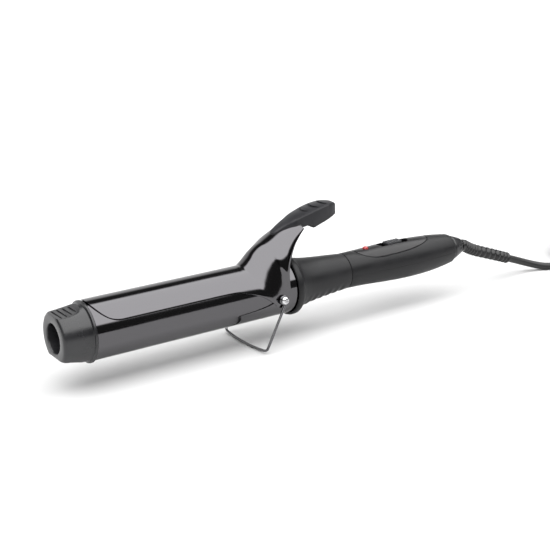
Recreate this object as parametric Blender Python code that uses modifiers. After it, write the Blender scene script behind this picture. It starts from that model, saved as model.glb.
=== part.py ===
"""Curling iron on its wire stand: a 38 mm clip barrel, a cool tip, a switched handle and a swivel cord.

Every size below is in millimetres and the helpers turn it into metres. Along the iron, x runs from the
front face of the cool tip (0) to the cord; y is across it and z is up, both measured from the barrel's axis.
"""

import math

import bmesh
import bpy
from mathutils import Matrix, Vector

MM = 0.001
GAP = 0.3  # between pieces that touch

# Barrel, cool tip and clip
BARREL_RADIUS = 19.0
BARREL_WALL = 0.8
BARREL_FRONT = 21.6
BARREL_REAR = 172.0
CLIP_RADIUS = 19.35  # inside of the clip's sheet
CLIP_SHEET = 0.8
CLIP_HALF_ANGLE = 63.5
CLIP_NOSE = 22.3
CLIP_NOSE_LENGTH = 17.7
PIVOT_X = 155.0
PIVOT_Z = -1.8
REST_SCREW_X = 176.0
# The thumb scoops of the cool tip: name, side, radius, x of the centre, and the least distance from the axis.
TIP_SCOOPS = (("upper", 1, 28.0, 3.0, 14.7), ("lower", -1, 40.0, -3.8, 12.2))

# Handle
HANDLE_FRONT = 219.7
HANDLE_END = 317.6
HANDLE_DROOP = 1.4  # the handle's axis sits this much lower at its end than at its front
PARTING_Z = -1.5
PANEL_FRONT, PANEL_WIDEST, PANEL_END = 230.3, 256.0, 295.0
PANEL_HALF_WIDTH = 10.7
LENS_X = 240.5
SHELL_SCREWS = ((227.0, -12.75), (300.5, -14.4))  # x, and z of the casing's underside there
SCREW_SEAT = 2.3
SWITCH_X = 264.7
SWITCH_TRAVEL = 4.5
SLIDER_SIZE = (13.0, 6.4, 2.6)
SWITCH_SLOT = (SLIDER_SIZE[0] + 2 * SWITCH_TRAVEL + 5.0, 7.8)

# Wire stand
WIRE_RADIUS = 0.9
STAND_LEAN = math.radians(28.7)  # from upright, towards the tip
STAND_LEG = 33.4
STAND_REACH = 37.4
STAND_BOW = 1.7
STAND_EYE_RADIUS = 2.45
STAND_TOP_Y = 22.75
STAND_FOOT_Y = 26.4

# Free cord
CORD_RADIUS = 2.8
RELIEF_END = (378.5, -20.6)
HANK_X = 503.0
HANK_HALF_RUN = 36.0
HANK_OUTER = 26.2
HANK_INNER = 14.4
HANK_HEIGHT = 17.6
TIE_THICKNESS = 1.3

STAND_DEPTH = -PIVOT_Z + STAND_REACH * math.cos(STAND_LEAN) + WIRE_RADIUS
MIDDLE_X = 164.5


def clear_scene():
    for obj in list(bpy.data.objects):
        bpy.data.objects.remove(obj)


clear_scene()
parts = bpy.data.collections.new("curling_iron")
cutters = bpy.data.collections.new("cutters")
bpy.context.scene.collection.children.link(parts)
bpy.context.scene.collection.children.link(cutters)


def empty(name, location, parent=None):
    obj = bpy.data.objects.new(name, None)
    obj.location = Vector(location) * MM
    obj.parent = parent
    parts.objects.link(obj)
    return obj


iron = empty("iron_frame", (-MIDDLE_X, 0, STAND_DEPTH))
clip_pivot = empty("clip_pivot", (PIVOT_X, 0, PIVOT_Z), iron)
stand_pivot = empty("stand_pivot", (PIVOT_X, 0, PIVOT_Z), iron)
swivel_axis = empty("swivel_axis", (HANDLE_END, 0, -HANDLE_DROOP), iron)


def material(name, colour, roughness, metallic=0.0):
    made = bpy.data.materials.new(name)
    made.use_nodes = True
    shader = made.node_tree.nodes["Principled BSDF"]
    shader.inputs["Base Color"].default_value = (*colour, 1.0)
    shader.inputs["Roughness"].default_value = roughness
    shader.inputs["Metallic"].default_value = metallic
    return made


TITANIUM = material("polished titanium coating", (0.16, 0.16, 0.17), 0.16, 0.9)
TIP_PLASTIC = material("moulded heat resistant plastic", (0.10, 0.10, 0.11), 0.32)
HANDLE_PLASTIC = material("soft touch handle plastic", (0.045, 0.045, 0.048), 0.5)
PANEL_PLASTIC = material("satin control panel plastic", (0.09, 0.09, 0.095), 0.35)
BLACK_PLASTIC = material("black plastic", (0.012, 0.012, 0.013), 0.4)
STEEL = material("bright steel", (0.72, 0.72, 0.74), 0.2, 1.0)
ALUMINIUM = material("extruded aluminium", (0.75, 0.76, 0.78), 0.4, 1.0)
CERAMIC = material("heating ceramic", (0.55, 0.52, 0.47), 0.7)
RED_LENS = material("red lens", (0.5, 0.02, 0.02), 0.1)
BOARD_GREEN = material("circuit board", (0.02, 0.12, 0.05), 0.5)
CORD_PVC = material("cord rubber", (0.012, 0.012, 0.013), 0.5)
BRASS = material("brass", (0.75, 0.58, 0.28), 0.3, 1.0)


def add(name, mesh, surface=None, location=(0, 0, 0), turn=(0, 0, 0), parent=iron, collection=parts):
    obj = bpy.data.objects.new(name, mesh)
    obj.location = Vector(location) * MM
    obj.rotation_euler = turn
    obj.parent = parent
    collection.objects.link(obj)
    if surface:
        mesh.materials.clear()
        mesh.materials.append(surface)
    return obj


def solid_of(obj, name=None):
    """Makes an object's shape, modifiers included, into a plain mesh object in its place."""
    bpy.context.view_layer.update()
    graph = bpy.context.evaluated_depsgraph_get()
    mesh = bpy.data.meshes.new_from_object(obj.evaluated_get(graph))
    build = bmesh.new()
    build.from_mesh(mesh)
    bmesh.ops.remove_doubles(build, verts=build.verts, dist=0.00001)
    build.to_mesh(mesh)
    build.free()
    made = bpy.data.objects.new(name or obj.name + "_solid", mesh)
    made.parent = obj.parent
    made.matrix_basis = obj.matrix_basis.copy()
    for collection in obj.users_collection:
        collection.objects.link(made)
    bpy.data.objects.remove(obj)
    return made


def smooth(obj, angle=35):
    obj.data.shade_smooth()
    obj.data.set_sharp_from_angle(angle=math.radians(angle))
    return obj


def box(name, size, location, surface=None, bevel=0.0, **where):
    mesh = bpy.data.meshes.new(name)
    build = bmesh.new()
    bmesh.ops.create_cube(build, size=1.0, matrix=Matrix.Diagonal((*(Vector(size) * MM), 1.0)))
    build.to_mesh(mesh)
    build.free()
    obj = add(name, mesh, surface, location, **where)
    if bevel:
        edge = obj.modifiers.new("rounded edges", "BEVEL")
        edge.width = bevel * MM
        edge.segments = 2
    return obj


def cylinder(name, radius, length, location, along, surface=None, sides=24, **where):
    turn = {"x": (0, math.pi / 2, 0), "y": (math.pi / 2, 0, 0), "z": (0, 0, 0)}[along]
    mesh = bpy.data.meshes.new(name)
    build = bmesh.new()
    bmesh.ops.create_cone(
        build, cap_ends=True, segments=sides, radius1=radius * MM, radius2=radius * MM, depth=length * MM
    )
    build.to_mesh(mesh)
    build.free()
    return smooth(add(name, mesh, surface, location, turn, **where))


def turned(
    name, profile, surface, closed=True, steps=48, location=(0, 0, 0), turn=(0, math.pi / 2, 0), **where
):
    """Turns a profile of (radius, distance along the axis) points, with the outer side from far to near."""
    mesh = bpy.data.meshes.new(name)
    edges = [(i, i + 1) for i in range(len(profile) - 1)]
    if closed:
        edges.append((len(profile) - 1, 0))
    mesh.from_pydata([(radius * MM, 0, along * MM) for radius, along in profile], edges, [])
    obj = add(name, mesh, surface, location, turn, **where)
    screw = obj.modifiers.new("turned", "SCREW")
    screw.steps = screw.render_steps = steps
    screw.use_merge_vertices = True
    screw.merge_threshold = 0.00005
    screw.use_smooth_shade = True
    return obj


def rod(name, points, radius, surface, resolution=2, cyclic=False, radii=None, **where):
    """A wire, tube or cable along the given points."""
    curve = bpy.data.curves.new(name, "CURVE")
    curve.dimensions = "3D"
    curve.bevel_depth = radius * MM
    curve.bevel_resolution = resolution
    curve.use_fill_caps = True
    spline = curve.splines.new("POLY")
    spline.points.add(len(points) - 1)
    spline.use_cyclic_u = cyclic
    for i, point in enumerate(points):
        spline.points[i].co = (*(Vector(point) * MM), 1.0)
        if radii:
            spline.points[i].radius = radii[i]
    spline.use_smooth = True
    return add(name, curve, surface, **where)


def plate(name, outlines, thickness, surface=None, **where):
    """A flat piece: the first outline is its edge and the others are holes. Its thickness is along local z."""
    curve = bpy.data.curves.new(name, "CURVE")
    curve.dimensions = "2D"
    curve.fill_mode = "BOTH"
    curve.extrude = thickness / 2 * MM
    for outline in outlines:
        spline = curve.splines.new("POLY")
        spline.points.add(len(outline) - 1)
        spline.use_cyclic_u = True
        for point, (across, up) in zip(spline.points, outline):
            point.co = (across * MM, up * MM, 0, 1)
    return add(name, curve, surface, **where)


def cutter(obj):
    obj.hide_render = True
    obj.display_type = "WIRE"
    return obj


def boolean(obj, other, operation):
    change = obj.modifiers.new(operation.lower(), "BOOLEAN")
    change.operation = operation
    change.object = other
    change.solver = "EXACT"


def cut(obj, *others):
    for other in others:
        boolean(obj, cutter(other), "DIFFERENCE")
    return obj


def join(obj, *others):
    for other in others:
        boolean(obj, cutter(other), "UNION")
    return obj


def arc(radius, start, end, count, centre=(0, 0)):
    angles = [math.radians(start + (end - start) * i / count) for i in range(count + 1)]
    return [(centre[0] + radius * math.cos(a), centre[1] + radius * math.sin(a)) for a in angles]


def smooth_route(points, step):
    """Reads points every step along a Catmull-Rom curve through the route's own points."""
    route = [Vector(p) for p in points]
    route = [2 * route[0] - route[1], *route, 2 * route[-1] - route[-2]]
    fine = []
    for a, b, c, d in zip(route, route[1:], route[2:], route[3:]):
        for i in range(20):
            t = i / 20
            fine.append(
                0.5 * (
                    2 * b + (c - a) * t + (2 * a - 5 * b + 4 * c - d) * t * t + (3 * b - a - 3 * c + d) * t**3
                )
            )
    fine.append(route[-2])
    length = sum((b - a).length for a, b in zip(fine, fine[1:]))
    count = max(2, round(length / step))
    read, walked, target = [fine[0]], 0.0, length / count
    for a, b in zip(fine, fine[1:]):
        piece = (b - a).length
        while walked + piece >= target - 1e-6 and len(read) < count:
            read.append(a.lerp(b, (target - walked) / piece))
            target += length / count
        walked += piece
    read.append(fine[-1])
    return [tuple(p) for p in read]


# ---------------------------------------------------------------- cool tip


def make_cool_tip():
    profile = [
        (0, 17), (15.6, 17), (15.6, 31), (17.8, 31), (17.8, 21.3), (19.7, 21.3), (20.0, 20.6), (19.8, 19.6),
        (18.9, 18.6), (18.3, 12), (17.7, 3.0), (17.3, 1.4), (16.4, 0.4), (15.2, 0), (10.1, 0), (9.7, 0.5),
        (9.7, 13), (0, 13),
    ]
    tip = turned("cool_tip", profile, TIP_PLASTIC, closed=False, steps=40)
    for name, side, scoop_radius, scoop_x, nearest in TIP_SCOOPS:
        centre_z = nearest + scoop_radius
        scoop = cylinder(
            f"tip_scoop_{name}", scoop_radius, 60, (scoop_x, 0, side * centre_z), "y", sides=48,
            collection=cutters,
        )
        cut(tip, scoop)
        for number in range(4):
            along = 3.4 + 3.5 * number
            bottom = centre_z - math.sqrt(scoop_radius**2 - (along - scoop_x) ** 2)
            groove = box(
                f"tip_groove_{name}_{number + 1}", (0.9, 60, 1.6), (along, 0, side * bottom),
                collection=cutters,
            )
            cut(tip, groove)
    return tip


make_cool_tip()

# ---------------------------------------------------------------- barrel and what it holds

inner_radius = BARREL_RADIUS - BARREL_WALL
barrel = turned(
    "barrel",
    [
        (BARREL_RADIUS, BARREL_REAR), (BARREL_RADIUS, BARREL_FRONT),
        (inner_radius, BARREL_FRONT), (inner_radius, BARREL_REAR),
    ],
    TITANIUM,
    steps=64,
)
bush = turned(
    "barrel_bush",
    [
        (10.3, 206), (10.3, 181), (16.2, 176), (17.8, 172), (17.8, 148),
        (15.8, 148), (15.8, 168), (8.4, 174), (8.4, 206),
    ],
    CERAMIC,
    steps=32,
)
pivot_hole = cylinder("pivot_hole", 1.65, 60, (PIVOT_X, 0, PIVOT_Z), "y", collection=cutters)
cut(barrel, pivot_hole)
cut(bush, pivot_hole)


def make_heater():
    shoe_outer, shoe_wall, flat_z = inner_radius - 0.5, 1.5, 2.1
    outer_start = math.degrees(math.asin(flat_z / shoe_outer))
    inner_start = math.degrees(math.asin((flat_z + shoe_wall) / (shoe_outer - shoe_wall)))
    rim = arc(shoe_outer, outer_start, 180 - outer_start, 20)
    hollow = arc(shoe_outer - shoe_wall, inner_start, 180 - inner_start, 18)
    for name, roll in (("heater_shoe_upper", 0), ("heater_shoe_lower", math.pi)):
        shoe = plate(name, [rim, hollow], 100, ALUMINIUM, location=(85, 0, 0))
        lay = Matrix.Rotation(roll, 4, "X") @ Matrix(((0, 0, 1, 0), (1, 0, 0, 0), (0, 1, 0, 0), (0, 0, 0, 1)))
        shoe.rotation_euler = lay.to_euler()
        shoe.location = Vector((85, 0, 0)) * MM
    box("heater_plate", (60, 22, 3.6), (85, 0, 0), CERAMIC)
    rod("heater_lead_neutral", [(115.4, 5.2, 0), (236.0, 5.2, 0)], 0.9, BLACK_PLASTIC)
    rod("heater_lead_live_front", [(115.4, -5.2, 0), (136.7, -5.2, 0)], 0.9, BLACK_PLASTIC)
    cylinder("thermal_fuse", 2.0, 11.4, (142.7, -5.2, 0), "x", ALUMINIUM, sides=16)
    rod("heater_lead_live_rear", [(148.7, -5.2, 0), (236.0, -5.2, 0)], 0.9, BLACK_PLASTIC)


make_heater()

# ---------------------------------------------------------------- clip, lever and thumb rest

# Each station of the lever's sheet: ridge x and z, edge x and z, half width, and how far round its edge lies.
LEVER_STATIONS = [
    (122.0, 19.35, 123.0, 8.2, 17.8, 66.0),
    (129.0, 19.35, 134.0, 5.2, 19.1, 74.0),
    (133.2, 19.4, 142.0, 1.6, 20.0, 82.0),
    (136.6, 19.9, 147.5, -2.6, 20.5, 88.0),
    (140.4, 23.1, 151.8, -6.6, 20.7, 90.0),
    (144.0, 26.9, 157.2, -8.2, 20.7, 90.0),
    (147.5, 29.7, 161.2, -5.8, 20.7, 90.0),
    (150.5, 31.5, 162.0, 0.5, 20.5, 90.0),
    (154.0, 33.1, 161.2, 10.5, 20.2, 90.0),
    (158.0, 35.2, 162.3, 18.2, 18.6, 90.0),
    (162.0, 37.4, 165.8, 24.5, 16.0, 90.0),
    (167.0, 39.8, 170.6, 31.0, 13.2, 90.0),
    (172.5, 41.8, 176.2, 36.0, 10.8, 90.0),
    (178.0, 43.0, 181.5, 39.6, 8.6, 90.0),
]
SHEET_STRIPS = 7  # between the ridge and each edge
NOSE_STATIONS = (22.3, 22.9, 24.2, 26.2, 28.8, 32.0, 36.0, 40.0, 57.0, 74.0, 91.0, 108.0)


def smoothed(stations, pieces):
    """Reads the stations on a curve through them, with the given number of pieces between neighbours."""
    rows = [stations[0], *stations, stations[-1]]
    read = []
    for a, b, c, d in zip(rows, rows[1:], rows[2:], rows[3:]):
        for i in range(pieces):
            t = i / pieces
            read.append(
                tuple(
                    0.5 * (
                        2 * q + (r - p) * t + (2 * p - 5 * q + 4 * r - s) * t * t
                        + (3 * q - p - 3 * r + s) * t**3
                    )
                    for p, q, r, s in zip(a, b, c, d)
                )
            )
    read.append(tuple(stations[-1]))
    return read


def clip_stations(radius):
    """The nose and the straight tongue lie on the barrel; the lever's stations lift off it."""
    stations = []
    for x in NOSE_STATIONS:
        short = max(0.0, (CLIP_NOSE + CLIP_NOSE_LENGTH - x) / CLIP_NOSE_LENGTH)
        angle = max(4.0, CLIP_HALF_ANGLE * math.sqrt(max(0.0, 1 - short**2)))
        a = math.radians(angle)
        stations.append((x, radius, x, radius * math.cos(a), radius * math.sin(a), angle))
    grown = radius - CLIP_RADIUS
    lever = [(rx, rz + grown, ex, ez, half + grown, angle) for rx, rz, ex, ez, half, angle in LEVER_STATIONS]
    return stations[:-1] + smoothed([stations[-1], *lever], 2)


def section(station, count):
    """Points across one station from its edge at -y, over the ridge, to its edge at +y."""
    ridge_x, ridge_z, edge_x, edge_z, half, angle = station
    full = math.radians(angle)
    points = []
    for i in range(-count, count + 1):
        a = full * abs(i) / count
        down = (1 - math.cos(a)) / (1 - math.cos(full))
        across = half * math.sin(a) / math.sin(full) * (1 if i > 0 else -1)
        points.append((ridge_x + (edge_x - ridge_x) * down, across, ridge_z + (edge_z - ridge_z) * down))
    return points


def sheet(name, stations, count):
    """An open surface through the sections, facing out."""
    build = bmesh.new()
    rows = [[build.verts.new(Vector(p) * MM) for p in section(s, count)] for s in stations]
    for low, high in zip(rows, rows[1:]):
        for i in range(2 * count):
            build.faces.new((low[i], high[i], high[i + 1], low[i + 1]))
    bmesh.ops.recalc_face_normals(build, faces=build.faces)
    top = max(build.faces, key=lambda f: f.calc_center_median().z)
    if top.normal.z < 0:
        bmesh.ops.reverse_faces(build, faces=build.faces)
    mesh = bpy.data.meshes.new(name)
    build.to_mesh(mesh)
    build.free()
    return mesh


def make_clip():
    mesh = sheet("clip", clip_stations(CLIP_RADIUS), SHEET_STRIPS)
    clip = add("clip", mesh, TITANIUM, location=(-PIVOT_X, 0, -PIVOT_Z), parent=clip_pivot)
    wall = clip.modifiers.new("sheet", "SOLIDIFY")
    wall.thickness = CLIP_SHEET * MM
    wall.offset = 1.0
    wall.use_even_offset = True
    smooth(clip, 50)
    cut(clip, cylinder("ear_hole", 1.9, 60, (PIVOT_X, 0, PIVOT_Z), "y", collection=cutters))
    cut(clip, cylinder("lever_hole", 1.7, 14, (REST_SCREW_X, 0, 42), "z", collection=cutters))
    return clip


def make_thumb_rest():
    """A solid pad on the lever: its underside is cut to the lever's sheet."""
    sections = [
        # x, half width, top z at the edge, crown, bottom z
        (160.6, 1.6, 38.9, 0.1, 34.0),
        (162.2, 3.0, 39.7, 0.2, 34.8),
        (166.0, 3.9, 41.7, 0.3, 36.4),
        (170.0, 4.9, 43.5, 0.4, 37.6),
        (174.0, 5.9, 45.0, 0.5, 38.6),
        (178.0, 6.9, 46.6, 0.6, 39.4),
        (182.0, 7.6, 48.0, 0.7, 40.2),
        (188.8, 8.3, 49.9, 0.8, 41.4),
        (190.0, 8.3, 50.3, 0.8, 38.7),
        (196.0, 8.4, 51.6, 0.8, 40.4),
        (202.0, 7.7, 52.6, 0.7, 42.0),
        (206.0, 6.6, 52.9, 0.5, 43.0),
        (209.6, 5.0, 52.6, 0.4, 43.7),
        (211.4, 4.0, 51.8, 0.3, 44.1),
        (212.4, 3.0, 50.4, 0.2, 44.6),
    ]
    build = bmesh.new()
    rows = []
    for x, half, top, crown, bottom in sections:
        across = [(-1, bottom), (-1, top), (-0.55, top + 0.75 * crown), (0, top + crown)]
        across += [(0.55, top + 0.75 * crown), (1, top), (1, bottom)]
        rows.append([build.verts.new((x * MM, side * half * MM, z * MM)) for side, z in across])
    for low, high in zip(rows, rows[1:]):
        for i in range(7):
            build.faces.new((low[i], high[i], high[(i + 1) % 7], low[(i + 1) % 7]))
    build.faces.new(rows[0])
    build.faces.new(rows[-1])
    bmesh.ops.recalc_face_normals(build, faces=build.faces)
    mesh = bpy.data.meshes.new("thumb_rest")
    build.to_mesh(mesh)
    build.free()
    pad = add("thumb_rest", mesh, BLACK_PLASTIC, location=(-PIVOT_X, 0, -PIVOT_Z), parent=clip_pivot)

    under = [s for s in clip_stations(CLIP_RADIUS + CLIP_SHEET + GAP) if s[0] > 150]
    last = under[-1]
    under.append((last[0] + 1.2, last[1] + 0.3, last[2] + 1.2, last[3] + 0.3, last[4], last[5]))
    build = bmesh.new()
    rows = []
    for station in under:
        points = section(station, SHEET_STRIPS)
        points = [(points[0][0], points[0][1], 20.0), *points, (points[-1][0], points[-1][1], 20.0)]
        rows.append([build.verts.new(Vector(p) * MM) for p in points])
    count = len(rows[0])
    for low, high in zip(rows, rows[1:]):
        for i in range(count):
            build.faces.new((low[i], high[i], high[(i + 1) % count], low[(i + 1) % count]))
    build.faces.new(rows[0])
    build.faces.new(rows[-1])
    bmesh.ops.recalc_face_normals(build, faces=build.faces)
    mesh = bpy.data.meshes.new("lever_bed")
    build.to_mesh(mesh)
    build.free()
    cut(pad, add("lever_bed", mesh, collection=cutters))
    cut(pad, cylinder("rest_screw_hole", 1.3, 6.0, (REST_SCREW_X, 0, 42.5), "z", collection=cutters, sides=16))
    return pad


make_clip()
make_thumb_rest()
thumb_screw = turned(
    "thumb_rest_screw",
    [(0, 45.2), (1.0, 45.2), (1.0, 41.4), (2.6, 41.4), (2.6, 40.2), (1.6, 39.6), (0, 39.6)],
    STEEL, closed=False, steps=16, location=(REST_SCREW_X - PIVOT_X, 0, -PIVOT_Z), turn=(0, 0, 0),
    parent=clip_pivot,
)

for side, name in ((-1, "pivot_screw_near"), (1, "pivot_screw_far")):
    head_y = 24.35
    screw_profile = [
        (0, head_y + 1.9), (1.4, head_y + 1.8), (2.4, head_y + 1.1), (2.8, head_y + 0.2), (2.8, head_y - 0.4),
        (1.4, head_y - 0.4), (1.4, 13.2), (0, 13.2),
    ]
    screw = turned(
        name, screw_profile, STEEL, closed=False, steps=20, location=(PIVOT_X, 0, PIVOT_Z),
        turn=(-side * math.pi / 2, 0, 0),
    )
    slot = box(
        name + "_recess_1", (3.2, 1.6, 0.7), (PIVOT_X, side * (head_y + 1.9), PIVOT_Z), collection=cutters
    )
    slot_2 = box(
        name + "_recess_2", (0.7, 1.6, 3.2), (PIVOT_X, side * (head_y + 1.9), PIVOT_Z), collection=cutters
    )
    cut(screw, slot, slot_2)



SPRING_X, SPRING_Z, SPRING_RADIUS, SPRING_WIRE = 157.0, 24.1, 3.4, 0.6


def make_clip_spring():
    """A torsion spring under the lever: one leg bears on the barrel and the other lifts the lever."""
    turns, pitch, per_turn = 4, 1.45, 12
    start = math.radians(255)
    points = [(SPRING_X - 13.0, -3.3, 19.9), (SPRING_X - 6.0, -3.2, 20.4)]
    for i in range(turns * per_turn + 5):
        a = start + 2 * math.pi * i / per_turn
        across = -turns * pitch / 2 + pitch * i / per_turn
        points.append((SPRING_X + SPRING_RADIUS * math.cos(a), across, SPRING_Z + SPRING_RADIUS * math.sin(a)))
    points += [(SPRING_X + 5.6, 3.2, 30.0), (SPRING_X + 9.2, 3.3, 38.0)]
    return rod("clip_spring", points, SPRING_WIRE, STEEL, resolution=1)


make_clip_spring()

# ---------------------------------------------------------------- wire stand


def make_stand():
    """One bent wire: an eye round each pivot screw, two legs and a bowed foot."""
    down = Vector((-math.sin(STAND_LEAN), 0, -math.cos(STAND_LEAN)))
    back = Vector((math.cos(STAND_LEAN), 0, -math.sin(STAND_LEAN)))

    def place(along, behind, across):
        return tuple(down * along + back * behind + Vector((0, across, 0)))

    half = []
    for i in range(13):
        a = math.radians(290 - 290 * i / 12)
        half.append(place(-STAND_EYE_RADIUS * math.sin(a), STAND_EYE_RADIUS * math.cos(a), STAND_TOP_Y))
    for share in (0.2, 0.5, 0.8, 1.0):
        across = STAND_TOP_Y + (STAND_FOOT_Y - STAND_TOP_Y) * share
        half.append(place(STAND_LEG * share, STAND_EYE_RADIUS * (1 - share), across))
    corner = STAND_REACH - STAND_BOW
    half.append(place(STAND_LEG + 0.55 * (corner - STAND_LEG), 0, STAND_FOOT_Y - 0.35))
    half.append(place(corner - 0.1, 0, STAND_FOOT_Y - 1.5))
    for across in (22.0, 15.0, 7.5):
        half.append(place(STAND_REACH - STAND_BOW * (across / STAND_FOOT_Y) ** 2, 0, across))
    middle = [place(STAND_REACH, 0, 0)]
    other = [(x, -y, z) for x, y, z in reversed(half)]
    return rod("wire_stand", half + middle + other, WIRE_RADIUS, STEEL, resolution=2, parent=stand_pivot)


make_stand()

# ---------------------------------------------------------------- handle

turned(
    "front_grip",
    [
        (12.6, 219.4), (13.4, 211), (14.4, 200), (15.3, 191), (16.6, 182.5), (18.4, 177.5),
        (20.0, 174.3), (20.6, 172.4), (20.9, 171.0), (20.8, 169.6), (20.3, 169.0), (19.5, 169.0),
        (19.5, 172.8), (16.8, 177.5), (15.0, 182), (13.6, 191), (10.9, 219.4),
    ],
    HANDLE_PLASTIC,
    steps=40,
)


def droop(x):
    """How much lower the handle's axis is at x."""
    share = min(1.0, max(0.0, (x - 222) / 78))
    return HANDLE_DROOP * share * share * (3 - 2 * share)


def handle_casing(name):
    """The whole handle before it is split: a spigot for the grip, the wall, and a groove for the swivel."""
    profile = [
        (9.6, 317.6), (10.5, 317.0), (11.2, 315.2), (12.0, 310), (13.0, 301), (13.8, 290), (14.2, 278),
        (14.2, 265), (13.7, 250), (12.9, 235), (12.6, 219.7), (10.5, 219.7), (10.5, 209), (9.0, 209), (9.0, 221),
        (11.1, 225), (11.9, 250), (12.4, 265), (12.4, 278), (12.0, 290), (11.3, 301), (10.6, 307.5),
        (6.9, 307.5),
        (6.9, 310.2), (9.4, 310.2), (9.4, 314.8), (6.9, 314.8), (6.9, 317.6),
    ]
    casing = solid_of(turned(name + "_profile", profile, HANDLE_PLASTIC, steps=36), name)
    turn = casing.matrix_basis.copy()
    casing.data.transform(turn)
    casing.matrix_basis = Matrix()
    for vertex in casing.data.vertices:
        vertex.co.z -= droop(vertex.co.x / MM) * MM
    return smooth(casing)


def panel_outline(grow):
    """A blunt leaf: two superellipse halves of unlike length that meet at the widest place."""
    points = []
    for i in range(44):
        a = 2 * math.pi * i / 44
        reach = (PANEL_END - PANEL_WIDEST if math.cos(a) > 0 else PANEL_WIDEST - PANEL_FRONT) + grow
        across = math.copysign(abs(math.sin(a)) ** (2 / 2.6), math.sin(a)) * (PANEL_HALF_WIDTH + grow)
        along = math.copysign(abs(math.cos(a)) ** (2 / 2.6), math.cos(a)) * reach
        points.append((PANEL_WIDEST + along, across))
    return points


def slot_outline(length, width, x):
    half = (length - width) / 2
    return arc(width / 2, -90, 90, 8, (x + half, 0)) + arc(width / 2, 90, 270, 8, (x - half, 0))


def upright_cutter(name, outline, low, high):
    middle = (0, 0, (low + high) / 2)
    return cutter(solid_of(plate(name + "_flat", [outline], high - low, location=middle, collection=cutters), name))


def make_handle():
    whole = (130, 60, 30)
    upper = handle_casing("handle_upper_shell")
    lower = handle_casing("handle_lower_shell")
    panel = handle_casing("control_panel")
    middle = (HANDLE_FRONT + HANDLE_END) / 2 - 5
    cut(upper, box("below_parting", whole, (middle, 0, PARTING_Z + GAP / 2 - 15), collection=cutters))
    cut(lower, box("above_parting", whole, (middle, 0, PARTING_Z - GAP / 2 + 15), collection=cutters))
    cut(upper, upright_cutter("panel_opening", panel_outline(GAP), 2, 25))
    boolean(panel, upright_cutter("panel_edge", panel_outline(0), 2, 25), "INTERSECT")
    panel.data.materials.clear()
    panel.data.materials.append(PANEL_PLASTIC)
    cut(panel, upright_cutter("switch_slot", slot_outline(*SWITCH_SLOT, SWITCH_X), 2, 25))
    cut(panel, cylinder("lens_hole", 2.4, 20, (LENS_X, 0, 14), "z", collection=cutters))
    for number, (x, bottom) in enumerate(SHELL_SCREWS, start=1):
        seat = bottom + SCREW_SEAT
        post_low, post_high = PARTING_Z - 0.3, bottom + 1.0
        boss = cylinder(
            f"screw_boss_{number}", 3.4, post_low - post_high, (x, 0, (post_low + post_high) / 2), "z",
            sides=20, collection=cutters,
        )
        post = cylinder(
            f"screw_post_{number}", 3.1, 12.4, (x, 0, PARTING_Z + 0.3 + 6.2), "z", sides=20, collection=cutters
        )
        well = cylinder(f"screw_well_{number}", 2.7, 8, (x, 0, seat - 4), "z", sides=20, collection=cutters)
        way = cylinder(f"screw_way_{number}", 1.5, 24, (x, 0, seat + 2), "z", sides=20, collection=cutters)
        pilot = cylinder(f"screw_pilot_{number}", 1.4, 12, (x, 0, 0), "z", sides=20, collection=cutters)
        join(lower, boss)
        cut(lower, well, way)
        join(upper, post)
        cut(upper, pilot)
        turned(
            f"handle_screw_{number}",
            [(0, 4.0), (1.1, 4.0), (1.1, seat - 0.3), (2.4, seat - 0.3), (2.4, seat - 1.4), (1.7, seat - 1.8),
             (0, seat - 1.8)],
            STEEL, closed=False, steps=16, location=(x, 0, 0), turn=(0, 0, 0),
        )


make_handle()


def make_controls():
    """Board, slide switch and indicator, stacked under the panel."""
    box("circuit_board", (56, 15, 1.6), (261.5, 0, 3.4), BOARD_GREEN)
    case = box("switch_case", (30, 10, 5.2), (SWITCH_X, 0, 7.1), BLACK_PLASTIC)
    cut(case, box("switch_case_slot", (16.4, 3.8, 4.0), (SWITCH_X, 0, 8.0), collection=cutters))
    slider = box("switch_slider", SLIDER_SIZE, (SWITCH_X, 0, 12.3), BLACK_PLASTIC)
    join(slider, box("slider_stem", (4.8, 3.0, 5.2), (SWITCH_X, 0, 9.2), collection=cutters))
    for number in range(5):
        x = SWITCH_X - 5.0 + 2.5 * number
        cut(slider, box(f"slider_groove_{number + 1}", (0.8, 10, 0.8), (x, 0, 13.6), collection=cutters))
    turned(
        "indicator_lens",
        [(0, 14.4), (1.0, 14.2), (1.7, 13.8), (2.1, 13.2), (2.1, 9.6), (0, 9.6)],
        RED_LENS, closed=False, steps=24, location=(LENS_X, 0, 0), turn=(0, 0, 0),
    )
    turned(
        "indicator_lamp",
        [(0, 9.2), (1.2, 8.9), (1.7, 8.1), (1.7, 4.5), (0, 4.5)],
        CERAMIC, closed=False, steps=16, location=(LENS_X, 0, 0), turn=(0, 0, 0),
    )
    for name, across in (("swivel_lead_1", 3.6), ("swivel_lead_2", -3.6)):
        way = [(284, across, 1.4), (292, across * 1.15, 0.4), (304.0, across * 1.15, -1.0)]
        rod(name, way, 0.9, BLACK_PLASTIC)


make_controls()

# ---------------------------------------------------------------- swivel


turned(
    "swivel_contact_block",
    [(0, 307.2), (6.2, 307.2), (6.2, 304.4), (0, 304.4)],
    BRASS, closed=False, steps=24, location=(0, 0, -HANDLE_DROOP),
)
turned(
    "swivel_neck",
    [
        (0, 329.0), (5.6, 329.0), (6.7, 326.6), (8.7, 321.6), (9.2, 319.6), (9.2, 318.1), (6.5, 318.1),
        (6.5, 314.4), (9.0, 314.4), (9.0, 310.6), (6.5, 310.6), (6.5, 307.6), (0, 307.6),
    ],
    BLACK_PLASTIC, closed=False, steps=24, location=(-HANDLE_END, 0, 0), parent=swivel_axis,
)


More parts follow.
